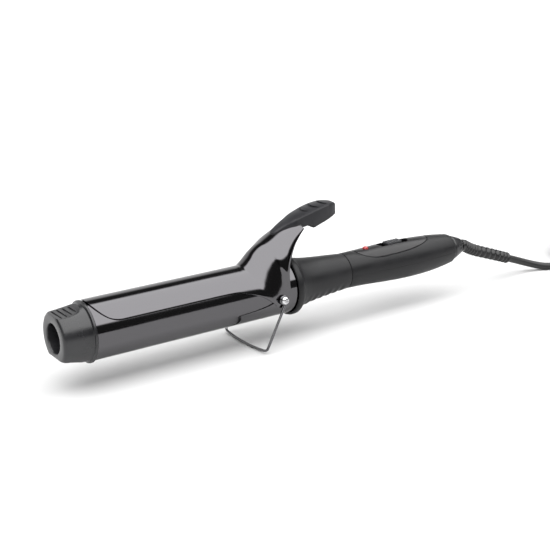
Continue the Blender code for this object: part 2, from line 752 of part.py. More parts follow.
def make_relief():
    """A tapered ribbed sleeve that droops from the neck under its own weight."""
    route = [
        (330.2, 0, -1.8), (333.7, 0, -2.4), (339, 0, -5.4), (346, 0, -8.6), (358, 0, -13.0),
        (370, 0, -17.4), (RELIEF_END[0], 0, RELIEF_END[1]),
    ]
    points = smooth_route(route, 3.5)
    radii = [5.1 - 0.8 * i / (len(points) - 1) for i in range(len(points))]
    local = [(x - HANDLE_END, y, z + HANDLE_DROOP) for x, y, z in points]
    return rod("strain_relief", local, 1.0, CORD_PVC, resolution=3, radii=radii, parent=swivel_axis)


make_relief()

# ---------------------------------------------------------------- cord, hank and plug

SURFACE_Z = -STAND_DEPTH


def local_to_swivel(points):
    return [(x - HANDLE_END, y, z + HANDLE_DROOP) for x, y, z in points]


def make_cord():
    """From the strain relief down to the surface and along it to the hank's outer turn."""
    start_x, start_z = RELIEF_END[0] + 0.35, RELIEF_END[1] - 0.12
    floor = SURFACE_Z + CORD_RADIUS + 0.1
    layer = SURFACE_Z + TIE_THICKNESS + 2 * GAP + CORD_RADIUS
    route = [
        (start_x, 0, start_z), (387, -0.3, -23.8), (397, -1.5, -27.6), (406, -4.0, -30.7), (414, -7.6, floor),
        (422, -12.2, floor), (430, -17.0, floor), (438, -20.9, floor + 0.5), (445, -22.9, layer - 0.4),
        (450.2, CORD_RADIUS - HANK_OUTER, layer),
    ]
    points = local_to_swivel(smooth_route(route, 6.5))
    return rod("power_cord", points, CORD_RADIUS, CORD_PVC, parent=swivel_axis)


make_cord()


def racetrack(radius, half_run, count=12):
    """The outline of two straight runs joined by round ends."""
    return arc(radius, -90, 90, count, (half_run, 0)) + arc(radius, 90, 270, count, (-half_run, 0))


def make_hank():
    bottom = SURFACE_Z + TIE_THICKNESS + 2 * GAP
    middle = (HANK_X - HANDLE_END, 0, bottom + HANK_HEIGHT / 2 + HANDLE_DROOP)
    outline = [racetrack(HANK_OUTER, HANK_HALF_RUN), racetrack(HANK_INNER, HANK_HALF_RUN)]
    plate("cord_hank", outline, HANK_HEIGHT, CORD_PVC, location=middle, parent=swivel_axis)
    reach, top = HANK_OUTER + GAP, HANK_HEIGHT / 2 + GAP
    loops = []
    for grow in (TIE_THICKNESS, 0.0):
        corner = 0.15 + grow
        right, high = reach - 0.15, top - 0.15
        loops.append(
            arc(corner, 0, 90, 4, (right, high)) + arc(corner, 90, 180, 4, (-right, high))
            + arc(corner, 180, 270, 4, (-right, -high)) + arc(corner, 270, 360, 4, (right, -high))
        )
    tie = plate("cord_tie", loops, 12, BLACK_PLASTIC, location=middle, parent=swivel_axis)
    tie.rotation_euler = (math.pi / 2, 0, math.pi / 2)
    return bottom + HANK_HEIGHT


def make_plug(hank_top):
    """A moulded two pin plug that lies on the hank, with the cord's last stretch running up to it."""
    axis_z = hank_top + GAP + 7.2
    run_y = HANK_OUTER - CORD_RADIUS
    lift = HANDLE_DROOP
    plug_x = HANK_X - HANK_HALF_RUN + 8
    turned(
        "plug_body",
        [
            (0, 0), (6.6, 0), (7.0, -1.2), (7.0, -13), (6.2, -20), (4.4, -26), (4.0, -27), (3.6, -44), (0, -44),
        ],
        CORD_PVC, closed=False, steps=24, location=(plug_x - HANDLE_END, run_y, axis_z + lift),
        turn=(0, -math.pi / 2, 0), parent=swivel_axis,
    )
    for number, side in ((1, -1), (2, 1)):
        rod(
            f"plug_pin_{number}",
            local_to_swivel([(x, run_y + side * 4.0, axis_z) for x in (plug_x - GAP, plug_x - 18)]),
            2.0, BRASS, resolution=3, parent=swivel_axis,
        )
    tail_x, round_x = plug_x + 44.3, HANK_X + HANK_HALF_RUN
    tail = [(tail_x, run_y, axis_z), (tail_x + 8, run_y, axis_z - 0.8), (tail_x + 17, run_y, axis_z - 2.9)]
    lying = hank_top + GAP + CORD_RADIUS
    tail += [(x, y, lying) for x, y in arc(run_y, 78, 0, 6, (round_x, 0))]
    rod("cord_tail", local_to_swivel(smooth_route(tail, 6.5)), CORD_RADIUS, CORD_PVC, parent=swivel_axis)


make_plug(make_hank())
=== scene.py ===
"""Looks of the curling iron on its wire stand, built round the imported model."""

import math

import bpy
from mathutils import Matrix, Vector


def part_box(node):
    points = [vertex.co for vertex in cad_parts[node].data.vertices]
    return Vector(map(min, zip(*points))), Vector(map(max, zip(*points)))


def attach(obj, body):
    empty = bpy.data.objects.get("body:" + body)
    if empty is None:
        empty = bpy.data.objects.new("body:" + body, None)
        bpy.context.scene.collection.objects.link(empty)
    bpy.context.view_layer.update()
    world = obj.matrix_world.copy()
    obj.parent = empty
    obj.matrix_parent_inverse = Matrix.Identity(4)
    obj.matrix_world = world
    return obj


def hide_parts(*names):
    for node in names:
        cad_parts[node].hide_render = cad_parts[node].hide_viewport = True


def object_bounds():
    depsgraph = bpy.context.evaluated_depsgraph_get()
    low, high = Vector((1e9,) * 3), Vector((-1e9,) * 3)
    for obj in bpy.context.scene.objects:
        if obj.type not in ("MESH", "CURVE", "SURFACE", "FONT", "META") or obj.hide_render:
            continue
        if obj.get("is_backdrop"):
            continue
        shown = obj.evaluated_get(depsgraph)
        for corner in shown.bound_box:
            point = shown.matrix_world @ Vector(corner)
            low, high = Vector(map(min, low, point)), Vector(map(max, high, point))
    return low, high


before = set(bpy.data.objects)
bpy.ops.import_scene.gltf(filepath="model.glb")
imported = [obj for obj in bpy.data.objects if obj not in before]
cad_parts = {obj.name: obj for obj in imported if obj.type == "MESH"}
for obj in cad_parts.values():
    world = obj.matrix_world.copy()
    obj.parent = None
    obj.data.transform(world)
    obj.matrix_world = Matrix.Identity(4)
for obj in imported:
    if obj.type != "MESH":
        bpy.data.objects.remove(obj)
cad_low, cad_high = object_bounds()
bpy.ops.object.select_all(action="DESELECT")

# ------------------------ camera
# A long lens in front of the iron, on the cool tip's side and above it, so that the barrel runs away to
# the right and the thumb rest stands against the floor.

camera_data = bpy.data.cameras.new("view camera")
camera_data.lens = 78.5
camera_data.sensor_width = 36.0
camera_data.clip_start = 0.01
camera = bpy.data.objects.new("view_camera", camera_data)
camera.location = (-0.4236, -0.6519, 0.2937)
camera.rotation_euler = [math.radians(a) for a in (72.162, 1.593, -33.443)]
bpy.context.scene.collection.objects.link(camera)
bpy.context.scene.camera = camera

# ------------------------ cord
# The mains lead: two cores in a satin black PVC sheath, 5.6 mm across and 1.89 m long. It droops from the
# strain relief to the surface, runs along it and is folded into a hank of six turns, two beside each other
# and three high, with its last stretch over the top to the plug.

MM = 0.001
tip_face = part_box("cool_tip")[0].x
axis_height = (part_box("barrel")[0].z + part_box("barrel")[1].z) / 2


def at(x, y, z):
    """The place x mm behind the tip's face, y mm across and z mm above the barrel's axis."""
    return Vector((tip_face + x * MM, y * MM, axis_height + z * MM))


def between(a, b, c, d, t):
    """What lies at share t of the way from b to c on a smooth curve through four points or numbers."""
    curve = 2 * b + (c - a) * t + (2 * a - 5 * b + 4 * c - d) * t * t + (3 * b - a - 3 * c + d) * t**3
    return 0.5 * curve


def smooth_route(points, step):
    """Reads a point every step along a smooth curve through the route's own points."""
    route = [Vector(p) for p in points]
    route = [2 * route[0] - route[1], *route, 2 * route[-1] - route[-2]]
    fine = []
    for a, b, c, d in zip(route, route[1:], route[2:], route[3:]):
        fine += [between(a, b, c, d, i / 20) for i in range(20)]
    fine.append(route[-2])
    read, walked = [fine[0]], 0.0
    for a, b in zip(fine, fine[1:]):
        walked += (b - a).length
        if walked >= step:
            read.append(b)
            walked = 0.0
    if (read[-1] - fine[-1]).length > step / 2:
        read.append(fine[-1])
    else:
        read[-1] = fine[-1]
    return read


def tube(name, points, radius, radii=None, sides=4):
    """A round wire or lead as a curve of one spline, in metres; radii thicken or thin it at each point."""
    data = bpy.data.curves.new(name, "CURVE")
    data.dimensions = "3D"
    data.bevel_depth = radius
    data.bevel_resolution = sides
    data.use_fill_caps = True
    spline = data.splines.new("POLY")
    spline.points.add(len(points) - 1)
    spline.use_smooth = True
    for i, point in enumerate(points):
        spline.points[i].co = (*point, 1.0)
        if radii:
            spline.points[i].radius = radii[i]
    piece = bpy.data.objects.new(name, data)
    bpy.context.scene.collection.objects.link(piece)
    return piece


CORD_RADIUS = 2.8
TURN_PITCH = 5.75  # from one turn of the hank to the turn beside it
hank_low, hank_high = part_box("cord_hank")
hank_x = (hank_low.x + hank_high.x) / 2
hank_outer = (hank_high.y - hank_low.y) / 2
half_run = (hank_high.x - hank_low.x) / 2 - hank_outer
layer_step = (hank_high.z - hank_low.z - 2 * CORD_RADIUS * MM) / 2
outer_turn = hank_outer - CORD_RADIUS * MM
inner_turn = outer_turn - TURN_PITCH * MM


def racetrack(share, radius):
    """A point on a turn, from share 0 at the start of the near run, anticlockwise from above."""
    run, bend = 2 * half_run, math.pi * radius
    walked = (share % 1.0) * 2 * (run + bend)
    if walked < run:
        return hank_x - half_run + walked, -radius
    walked -= run
    if walked < bend:
        turn = walked / radius - math.pi / 2
        return hank_x + half_run + radius * math.cos(turn), radius * math.sin(turn)
    walked -= bend
    if walked < run:
        return hank_x + half_run - walked, radius
    turn = (walked - run) / radius + math.pi / 2
    return hank_x - half_run + radius * math.cos(turn), radius * math.sin(turn)


def eased(share):
    """A share from 0 to 1 that starts and ends gently."""
    share = min(1.0, max(0.0, share))
    return share * share * (3 - 2 * share)


ROUTE = [
    (378.85, 0, -20.72), (387, -0.3, -23.8), (397, -1.5, -27.6), (406, -4.0, -30.7), (414, -7.6, -32.6),
    (422, -12.2, -32.6), (430, -17.0, -32.6), (438, -20.9, -32.1), (445, -22.9, -31.2),
    (450.2, -23.4, -30.8),
]
lead = [at(*p) for p in ROUTE]
first_layer = hank_low.z + CORD_RADIUS * MM
lead.append(Vector((hank_x - half_run, -outer_turn, first_layer)))
cord_points = smooth_route(lead, 4 * MM)
TURNS = (
    (outer_turn, 0), (inner_turn, 0), (inner_turn, 1), (outer_turn, 1), (outer_turn, 2), (inner_turn, 2),
)
POINTS_PER_TURN = 64
CHANGE = 0.30  # the share of a turn, at its end, in which the lead moves to its next place
for number, (radius, layer) in enumerate(TURNS):
    next_radius, next_layer = TURNS[min(number + 1, len(TURNS) - 1)]
    for i in range(1, POINTS_PER_TURN + 1):
        share = i / POINTS_PER_TURN
        moved = eased((share - 1 + CHANGE) / CHANGE)
        r = radius + (next_radius - radius) * moved
        x, y = racetrack(share, r)
        height = first_layer + layer_step * (layer + (next_layer - layer) * moved)
        cord_points.append(Vector((x, y, height)))
plug_low, plug_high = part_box("plug_body")
plug_axis_z = (plug_low.z + plug_high.z) / 2
LIFT = 0.3  # how far the last stretch lies above the turns
lying = hank_high.z + (LIFT + CORD_RADIUS) * MM
top_layer = first_layer + 2 * layer_step
CLIMB = (0.08, 0.16, 0.24)  # the shares of a turn in which it rises there
for share in CLIMB:
    rise = eased(share / CLIMB[-1])
    x, y = racetrack(share, inner_turn + (outer_turn - inner_turn) * rise)
    cord_points.append(Vector((x, y, top_layer + (lying - top_layer) * rise)))
BEND_FROM, BEND_TURN, BEND_STEPS = -82, 160, 13
for i in range(BEND_STEPS + 1):
    turn = math.radians(BEND_FROM + BEND_TURN * i / BEND_STEPS)
    place = (hank_x + half_run + outer_turn * math.cos(turn), outer_turn * math.sin(turn), lying)
    cord_points.append(Vector(place))
for along, drop in ((17, 2.9), (8, 0.8), (0.3, 0.0)):
    cord_points.append(Vector((plug_high.x + along * MM, outer_turn, plug_axis_z - drop * MM)))
cord = tube("power_cord_lead", cord_points, CORD_RADIUS * MM)


def hex_colour(code):
    """Turns an sRGB hex colour into the linear colour that a shader takes."""
    parts = [int(code[i:i + 2], 16) / 255 for i in (1, 3, 5)]
    return (*[p / 12.92 if p <= 0.04045 else ((p + 0.055) / 1.055) ** 2.4 for p in parts], 1.0)


def add_node(material, kind, settings=None, links=None, values=None):
    """Adds a node with its settings, its sockets' values and its links from (node, output name)."""
    made = material.node_tree.nodes.new(kind)
    for name, value in (settings or {}).items():
        setattr(made, name, value)
    for name, value in (values or {}).items():
        made.inputs[name].default_value = value
    for name, (source, output) in (links or {}).items():
        material.node_tree.links.new(source.outputs[output], made.inputs[name])
    return made


def start_material(name, colour, roughness, metallic=0.0, **sockets):
    """A named material with its Principled shader set."""
    material = bpy.data.materials.new(name)
    material.use_nodes = True
    shader = material.node_tree.nodes["Principled BSDF"]
    shader.inputs["Base Color"].default_value = hex_colour(colour)
    shader.inputs["Roughness"].default_value = roughness
    shader.inputs["Metallic"].default_value = metallic
    for socket, value in sockets.items():
        shader.inputs[socket.replace("_", " ")].default_value = value
    return material, shader


PATCH = 22.2


def grain(material, shader, size_mm, depth_mm, low, high, tint, shade, stretch=(1, 1, 1)):
    """Fine relief of grains of one size; roughness and colour stray a little over patches of PATCH mm."""
    place = add_node(material, "ShaderNodeTexCoord")
    turned_place = add_node(
        material, "ShaderNodeMapping", values={"Scale": stretch}, links={"Vector": (place, "Object")}
    )
    fine = add_node(
        material, "ShaderNodeTexNoise",
        values={"Scale": 1 / (size_mm * MM), "Detail": 3.0, "Roughness": 0.6},
        links={"Vector": (turned_place, "Vector")},
    )
    bump = add_node(
        material, "ShaderNodeBump", values={"Strength": 0.6, "Distance": depth_mm * MM},
        links={"Height": (fine, "Fac")},
    )
    broad = add_node(
        material, "ShaderNodeTexNoise",
        values={"Scale": 1 / (PATCH * MM), "Detail": 4.0, "Roughness": 0.55},
        links={"Vector": (place, "Object")},
    )
    rough = add_node(
        material, "ShaderNodeMapRange",
        values={"From Min": 0.3, "From Max": 0.7, "To Min": low, "To Max": high},
        links={"Value": (broad, "Fac")},
    )
    colour = add_node(material, "ShaderNodeValToRGB", links={"Fac": (broad, "Fac")})
    colour.color_ramp.elements[0].position = 0.35
    colour.color_ramp.elements[0].color = hex_colour(shade)
    colour.color_ramp.elements[1].position = 0.65
    colour.color_ramp.elements[1].color = hex_colour(tint)
    tree = material.node_tree
    tree.links.new(bump.outputs["Normal"], shader.inputs["Normal"])
    tree.links.new(rough.outputs["Result"], shader.inputs["Roughness"])
    tree.links.new(colour.outputs["Color"], shader.inputs["Base Color"])


# Extruded PVC sheath: an even satin black with a fine grain and a little dust grey in the sheen.
sheath_pvc, shader = start_material("extruded PVC sheath", "#0e0e0f", 0.42)
grain(sheath_pvc, shader, 0.7, 0.03, 0.36, 0.5, "#121213", "#0c0c0d")


def finish(piece, material, body, slot, *replaced):
    """Gives a piece its material and the body it rides on, and hides the nodes that it stands for; slot is
    not used.
    """
    piece.data.materials.clear()
    piece.data.materials.append(material)
    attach(piece, body)
    if replaced:
        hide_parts(*replaced)
    return piece


finish(cord, sheath_pvc, "swivel", "cord_rubber", "power_cord", "cord_hank", "cord_tail")

# ------------------------ strain relief
# A sleeve moulded in soft PVC over the lead: thirteen ribs with slots between them, thinning towards the
# lead, so that it bends in an even curve. It droops a little from the swivel's neck.

RIBS = 13
PLAIN = 0.13  # the share of the sleeve, at the neck, that has no ribs
RELIEF_RADIUS, RELIEF_TAPER, SLOT_DEPTH = 4.65, 0.3, 1.75
RELIEF_ROUTE = [
    (330.2, 0, -1.8), (333.7, 0, -2.4), (339, 0, -5.4), (346, 0, -8.6), (358, 0, -13.0), (370, 0, -17.4),
    (378.5, 0, -20.6),
]
relief_line = smooth_route([at(*p) for p in RELIEF_ROUTE], 0.13 * MM)
relief_radii = []
for i in range(len(relief_line)):
    share = i / (len(relief_line) - 1)
    ribbed = max(0.0, (share - PLAIN) / (1 - PLAIN))
    slot_depth = SLOT_DEPTH * eased((0.05 - math.cos(2 * math.pi * RIBS * ribbed)) / 0.25)
    relief_radii.append(RELIEF_RADIUS - RELIEF_TAPER * share - slot_depth)
relief = tube("strain_relief_sleeve", relief_line, MM, relief_radii, sides=6)

# Moulded soft PVC: as black as the lead but shinier, with a fine spark-eroded grain from its mould.
relief_pvc, shader = start_material("moulded soft PVC", "#0e0e0f", 0.3)
grain(relief_pvc, shader, 0.35, 0.02, 0.3, 0.4, "#111112", "#0b0b0c")
finish(relief, relief_pvc, "swivel", "cord_rubber", "strain_relief")

# ------------------------ plug and tie
# A two pin plug moulded on the lead, with plated brass pins, lying on the hank; and a nylon strap round the
# hank's middle. Both are away from the iron.

WELD = 0.000005  # points of a mesh this close, in metres, become one


def pick(piece):
    """Makes a piece the active one and the only one selected."""
    bpy.ops.object.select_all(action="DESELECT")
    bpy.context.view_layer.objects.active = piece
    piece.select_set(True)


def shade(piece, sharp):
    """Shades a piece smooth, but for edges sharper than so many degrees."""
    pick(piece)
    bpy.ops.object.shade_smooth_by_angle(angle=math.radians(sharp))


def weld(piece):
    """Merges a closed mesh's doubled points and turns its faces outwards."""
    pick(piece)
    bpy.ops.object.mode_set(mode="EDIT")
    bpy.ops.mesh.select_all(action="SELECT")
    bpy.ops.mesh.remove_doubles(threshold=WELD)
    bpy.ops.mesh.normals_make_consistent(inside=False)
    bpy.ops.object.mode_set(mode="OBJECT")


def turned(name, profile, centre, turn=(0, 0, 0), sides=96, sharp=35):
    """Turns (along, radius) points, in mm, about +X: a ring extruded and resized from point to point."""
    bpy.ops.object.select_all(action="DESELECT")
    along, radius = profile[0]
    bpy.ops.mesh.primitive_circle_add(
        vertices=sides, radius=radius * MM, location=(along * MM, 0, 0), rotation=(0, math.pi / 2, 0)
    )
    piece = bpy.context.object
    piece.name = piece.data.name = name
    bpy.ops.object.transform_apply(location=True, rotation=True, scale=True)
    bpy.ops.object.mode_set(mode="EDIT")
    bpy.ops.mesh.select_all(action="SELECT")
    for (x0, r0), (x1, r1) in zip(profile, profile[1:]):
        bpy.ops.mesh.extrude_edges_move(TRANSFORM_OT_translate={"value": ((x1 - x0) * MM, 0, 0)})
        bpy.ops.transform.resize(value=(1, r1 / r0, r1 / r0), center_override=(x1 * MM, 0, 0))
    bpy.ops.mesh.select_all(action="SELECT")
    bpy.ops.mesh.remove_doubles(threshold=WELD)
    bpy.ops.mesh.fill_holes(sides=0)
    bpy.ops.mesh.select_all(action="SELECT")
    bpy.ops.mesh.normals_make_consistent(inside=False)
    bpy.ops.object.mode_set(mode="OBJECT")
    piece.location = centre
    piece.rotation_euler = turn
    bpy.ops.object.transform_apply(location=True, rotation=True, scale=True)
    shade(piece, sharp)
    return piece


def apply(piece, kind, **settings):
    """Adds a modifier with its settings and applies it."""
    pick(piece)
    modifier = piece.modifiers.new(kind.lower(), kind)
    for name, value in settings.items():
        setattr(modifier, name, value)
    bpy.ops.object.modifier_apply(modifier=modifier.name)
    return piece


def round_edges(piece, width, segments=3, angle=35, sharp=50):
    """Rounds a piece's sharp edges by a width in mm."""
    apply(
        piece, "BEVEL", width=width * MM, segments=segments, limit_method="ANGLE",
        angle_limit=math.radians(angle), harden_normals=False,
    )
    shade(piece, sharp)
    return piece


def block(name, size, centre, rounding=0.0, segments=3):
    """A block of a size in mm, its edges rounded by so many mm."""
    bpy.ops.object.select_all(action="DESELECT")
    bpy.ops.mesh.primitive_cube_add(size=1.0, location=centre)
    piece = bpy.context.object
    piece.name = piece.data.name = name
    piece.scale = Vector(size) * MM
    bpy.ops.object.transform_apply(location=True, rotation=True, scale=True)
    if rounding:
        round_edges(piece, rounding, segments)
    return piece


def cut(piece, *tools, operation="DIFFERENCE"):
    """Cuts the tools out of a piece, or joins or crosses them with it, and removes them."""
    for tool in tools:
        apply(piece, "BOOLEAN", object=tool, operation=operation, solver="EXACT")
        bpy.data.objects.remove(tool)
    return piece


PLUG_LENGTH = 44.0
plug = turned(
    "plug_moulding",
    [
        (0, 0.4), (0, 6.3), (0.25, 6.8), (0.7, 7.0), (9, 7.05), (13, 6.9), (17, 6.4), (21, 5.4),
        (24, 4.6), (27, 4.2), (28, 3.5), (29.5, 3.5), (30, 4.1), (32, 4.1), (32.5, 3.5), (34, 3.5),
        (34.5, 4.0), (36.5, 4.0), (37, 3.45), (38.5, 3.45), (39, 3.9), (41, 3.9), (41.5, 3.4),
        (PLUG_LENGTH, 3.3),
    ],
    (plug_low.x, outer_turn, plug_axis_z), sides=64,
)
for side in (-1, 1):
    dish_centre = (plug_low.x + 8 * MM, outer_turn + side * 8.2 * MM, plug_axis_z)
    cut(plug, block("finger_dish", (9, 9, 4), dish_centre, 1.2))
shade(plug, 40)
finish(plug, sheath_pvc, "swivel", "cord_rubber", "plug_body")

# Turned brass with nickel plating worn a little warm: bright, with fine turning marks round each pin.
pin_brass, shader = start_material("plated brass", "#cdb98a", 0.22, 1.0)
grain(pin_brass, shader, 0.3, 0.004, 0.16, 0.3, "#d6c79f", "#c2aa74", stretch=(6, 1, 1))
for number in (1, 2):
    low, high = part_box(f"plug_pin_{number}")
    middle = (low + high) / 2
    length = (high.x - low.x) / MM
    pin = turned(
        f"plug_pin_round_{number}",
        [
            (0, 0.6), (0.25, 1.3), (0.8, 1.8), (1.6, 2.0), (length - 8, 2.0), (length - 7.9, 1.92),
            (length, 1.92),
        ],
        (low.x, middle.y, middle.z), sides=32,
    )
    finish(pin, pin_brass, "swivel", "brass", f"plug_pin_{number}")

TIE_WALL = 1.2
tie_low, tie_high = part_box("cord_tie")
tie_size = (tie_high - tie_low) / MM
tie_middle = (tie_low + tie_high) / 2
tie = block("nylon_tie", tie_size, tie_middle)
round_edges(tie, 3.2, 6)
hollow_size = (tie_size.x + 4, tie_size.y - 2 * TIE_WALL, tie_size.z - 2 * TIE_WALL)
hollow = block("tie_hollow", hollow_size, tie_middle)
round_edges(hollow, 2.0, 5)
cut(tie, hollow)
tab_centre = (tie_middle.x, tie_middle.y - 5 * MM, tie_high.z + 0.35 * MM)
tab = block("tie_tab", (tie_size.x - 1.2, 15, 1.3), tab_centre, 0.5)
cut(tie, tab, operation="UNION")
round_edges(tie, 0.25, 2, angle=50)

# Woven nylon strap: black twill. Its 0.6 mm threads are too fine to show, so they are drawn 2.4 mm apart.
THREAD_PITCH = 2.42
nylon, shader = start_material("woven nylon", "#151516", 0.7)
place = add_node(nylon, "ShaderNodeTexCoord")
weave = add_node(
    nylon, "ShaderNodeTexWave", {"wave_type": "BANDS", "bands_direction": "DIAGONAL"},
    {"Vector": (place, "Object")},
    {"Scale": 2 * math.pi / (10 * THREAD_PITCH * MM), "Distortion": 0.6, "Detail": 1.0},
)
thread_bump = add_node(
    nylon, "ShaderNodeBump", values={"Strength": 0.8, "Distance": 0.1 * MM},
    links={"Height": (weave, "Fac")},
)
# The weave's tone is painted shade and light: darker in the hollows between the threads and lighter on
# their tops.
weave_painted_shade = add_node(nylon, "ShaderNodeValToRGB", links={"Fac": (weave, "Fac")})
weave_painted_shade.color_ramp.elements[0].color = hex_colour("#0d0d0e")
weave_painted_shade.color_ramp.elements[1].color = hex_colour("#222224")
nylon.node_tree.links.new(thread_bump.outputs["Normal"], shader.inputs["Normal"])
nylon.node_tree.links.new(weave_painted_shade.outputs["Color"], shader.inputs["Base Color"])
finish(tie, nylon, "swivel", "black_plastic", "cord_tie")

# ------------------------ cool tip
# The grey cap that stays cool enough to hold, injection moulded in heat resistant nylon and pushed into the
# barrel. It has a deep round hollow in front, a flange against the barrel, and a thumb scoop with four
# grooves above and below.

tip = turned(
    "cool_tip_moulding",
    [
        (12.9, 9.2), (12.5, 9.55), (1.0, 9.7), (0.45, 9.8), (0.12, 10.05), (0, 10.5), (0, 14.8),
        (0.12, 15.6), (0.5, 16.35), (1.1, 16.95), (1.9, 17.35), (3.2, 17.6), (7, 17.85), (12, 18.2),
        (16, 18.45), (18.2, 18.55), (19.0, 18.65), (19.35, 19.0), (19.5, 19.6), (19.75, 20.0),
        (20.2, 20.15), (20.9, 20.1), (21.2, 19.85), (21.3, 19.5), (21.3, 17.8), (31, 17.8), (31, 15.6),
    ],
    at(0, 0, 0), sides=160,
)


def prism(name, outline, half_width):
    """A bar along Y through an (x, z) outline in mm, as a tool that cuts."""
    data = bpy.data.curves.new(name, "CURVE")
    data.dimensions = "2D"
    data.fill_mode = "BOTH"
    data.extrude = half_width * MM
    spline = data.splines.new("POLY")
    spline.points.add(len(outline) - 1)
    spline.use_cyclic_u = True
    for point, (x, z) in zip(spline.points, outline):
        point.co = (x * MM, z * MM, 0, 1)
    piece = bpy.data.objects.new(name, data)
    bpy.context.scene.collection.objects.link(piece)
    pick(piece)
    bpy.ops.object.convert(target="MESH")
    piece.rotation_euler = (math.pi / 2, 0, 0)
    piece.location = at(0, 0, 0)
    bpy.ops.object.transform_apply(location=True, rotation=True, scale=True)
    weld(piece)
    return piece


def rod_tool(name, radius, half_length, x, z):
    """A round ended rod across the iron, as a tool that cuts."""
    profile = [
        (-half_length, 0.1), (-half_length + 0.15 * radius, 0.55 * radius),
        (-half_length + 0.5 * radius, 0.87 * radius), (-half_length + radius, radius),
    ]
    profile += [(-along, r) for along, r in reversed(profile)]
    return turned(name, profile, at(x, 0, z), turn=(0, 0, math.pi / 2), sides=24)


UPPER_SCOOP = [
    (-3, 14.9), (0, 14.8), (4, 14.7), (8, 15.05), (11, 15.5), (13.5, 15.95), (15.2, 16.5), (16.4, 17.4),
    (17.3, 18.6), (17.8, 19.6), (18.0, 21), (18.0, 26), (-3, 26),
]
LOWER_SCOOP = [
    (-3, -26), (19.2, -26), (19.0, -19.4), (17, -18.0), (15, -16.9), (12, -15.4), (8, -14.0), (4, -13.0),
    (0, -12.4), (-3, -12.2),
]
SCOOP_REACH = 30  # how far the scoops' tools reach to each side, past the tip
cut(tip, prism("upper_scoop", UPPER_SCOOP, SCOOP_REACH), prism("lower_scoop", LOWER_SCOOP, SCOOP_REACH))
round_edges(tip, 0.45, 3, angle=30, sharp=40)
GROOVE_RADIUS = 0.78
# Each groove: the x and z of its middle, and half its length.
GROOVES = {
    "upper": ((3.4, 14.4, 8.0), (6.9, 14.6, 7.9), (10.4, 15.05, 7.2), (13.8, 15.7, 5.6)),
    "lower": ((3.4, -12.6, 9.6), (6.9, -13.4, 9.4), (10.4, -14.5, 8.4), (13.8, -15.9, 6.8)),
}
for scoop, grooves in GROOVES.items():
    for number, (x, z, half_length) in enumerate(grooves, start=1):
        cut(tip, rod_tool(f"{scoop}_groove_{number}", GROOVE_RADIUS, half_length, x, z))
shade(tip, 35)

# Injection moulded nylon: satin dark grey with a fine even grain, a little shinier in patches.
tip_nylon, shader = start_material("moulded glass filled nylon", "#1d1d1f", 0.28, Specular_IOR_Level=0.55)
grain(tip_nylon, shader, 0.3, 0.012, 0.24, 0.32, "#212123", "#19191b")
finish(tip, tip_nylon, "iron", "tip_plastic", "cool_tip")

# ------------------------ barrel
# A 38 mm steel tube, polished and given a dark grey titanium coating, with a rounded front rim against the
# tip. It sits on the tip's spigot and, inside the clip's saddle, on the ceramic bush.

barrel = turned(
    "barrel_tube",
    [
        (21.6, 18.2), (21.6, 18.75), (21.68, 18.92), (21.85, 19.0), (60, 19.0), (100, 19.0), (140, 19.0),
        (172, 19.0), (172, 18.2), (21.6, 18.2),
    ],
    at(0, 0, 0), sides=192,
)

# Polished titanium coating: a dark mirror with faint handling haze and hair-fine marks round the tube,
# about 0.3 mm apart along it.
HAIR, HAIR_STRETCH, HAZE = 18.2, 60.0, 41.7
titanium, shader = start_material("polished titanium coating", "#5a595b", 0.09, 1.0)
place = add_node(titanium, "ShaderNodeTexCoord")
along = add_node(
    titanium, "ShaderNodeMapping", values={"Scale": (HAIR_STRETCH, 1.0, 1.0)},
    links={"Vector": (place, "Object")},
)
hairs = add_node(
    titanium, "ShaderNodeTexNoise", values={"Scale": 1 / (HAIR * MM), "Detail": 5.0, "Roughness": 0.7},
    links={"Vector": (along, "Vector")},
)
haze = add_node(
    titanium, "ShaderNodeTexNoise", values={"Scale": 1 / (HAZE * MM), "Detail": 4.0, "Roughness": 0.55},
    links={"Vector": (place, "Object")},
)
both = add_node(
    titanium, "ShaderNodeMath", {"operation": "MULTIPLY_ADD"}, {0: (hairs, "Fac"), 2: (haze, "Fac")},
    {1: 0.35},
)
haze_rough = add_node(
    titanium, "ShaderNodeMapRange",
    values={"From Min": 0.45, "From Max": 0.9, "To Min": 0.07, "To Max": 0.14},
    links={"Value": (both, "Value")},
)
hair_bump = add_node(
    titanium, "ShaderNodeBump", values={"Strength": 0.25, "Distance": 0.002 * MM},
    links={"Height": (hairs, "Fac")},
)
titanium.node_tree.links.new(haze_rough.outputs["Result"], shader.inputs["Roughness"])
titanium.node_tree.links.new(hair_bump.outputs["Normal"], shader.inputs["Normal"])
finish(barrel, titanium, "iron", "titanium_coating", "barrel")

# ------------------------ clip and lever
# One pressed sheet of the same coated steel, 0.8 mm thick: a rounded nose, a tongue that lies on the
# barrel, and behind it a saddle that sweeps up to the thumb rest, with an ear each side down to the pivot
# screws.

CLIP_RADIUS, SHEET = 19.35, 0.8
# Each station: ridge x and z, edge x and z, half width, and how far round its edge lies, in degrees.
LEVER_STATIONS = [
    (122.0, 19.35, 123.0, 8.2, 17.8, 66.0), (129.0, 19.35, 134.0, 5.2, 19.1, 74.0),
    (133.2, 19.4, 142.0, 1.6, 20.0, 82.0), (136.6, 19.9, 147.5, -2.6, 20.5, 88.0),
    (140.4, 23.1, 151.8, -6.6, 20.7, 90.0), (144.0, 26.9, 157.2, -8.2, 20.7, 90.0),
    (147.5, 29.7, 161.2, -5.8, 20.7, 90.0), (150.5, 31.5, 162.0, 0.5, 20.5, 90.0),
    (154.0, 33.1, 161.2, 10.5, 20.2, 90.0), (158.0, 35.2, 162.3, 18.2, 18.6, 90.0),
    (162.0, 37.4, 165.8, 24.5, 16.0, 90.0), (167.0, 39.8, 170.6, 31.0, 13.2, 90.0),
    (172.5, 41.8, 176.2, 36.0, 10.8, 90.0), (178.0, 43.0, 181.5, 39.6, 8.6, 90.0),
]
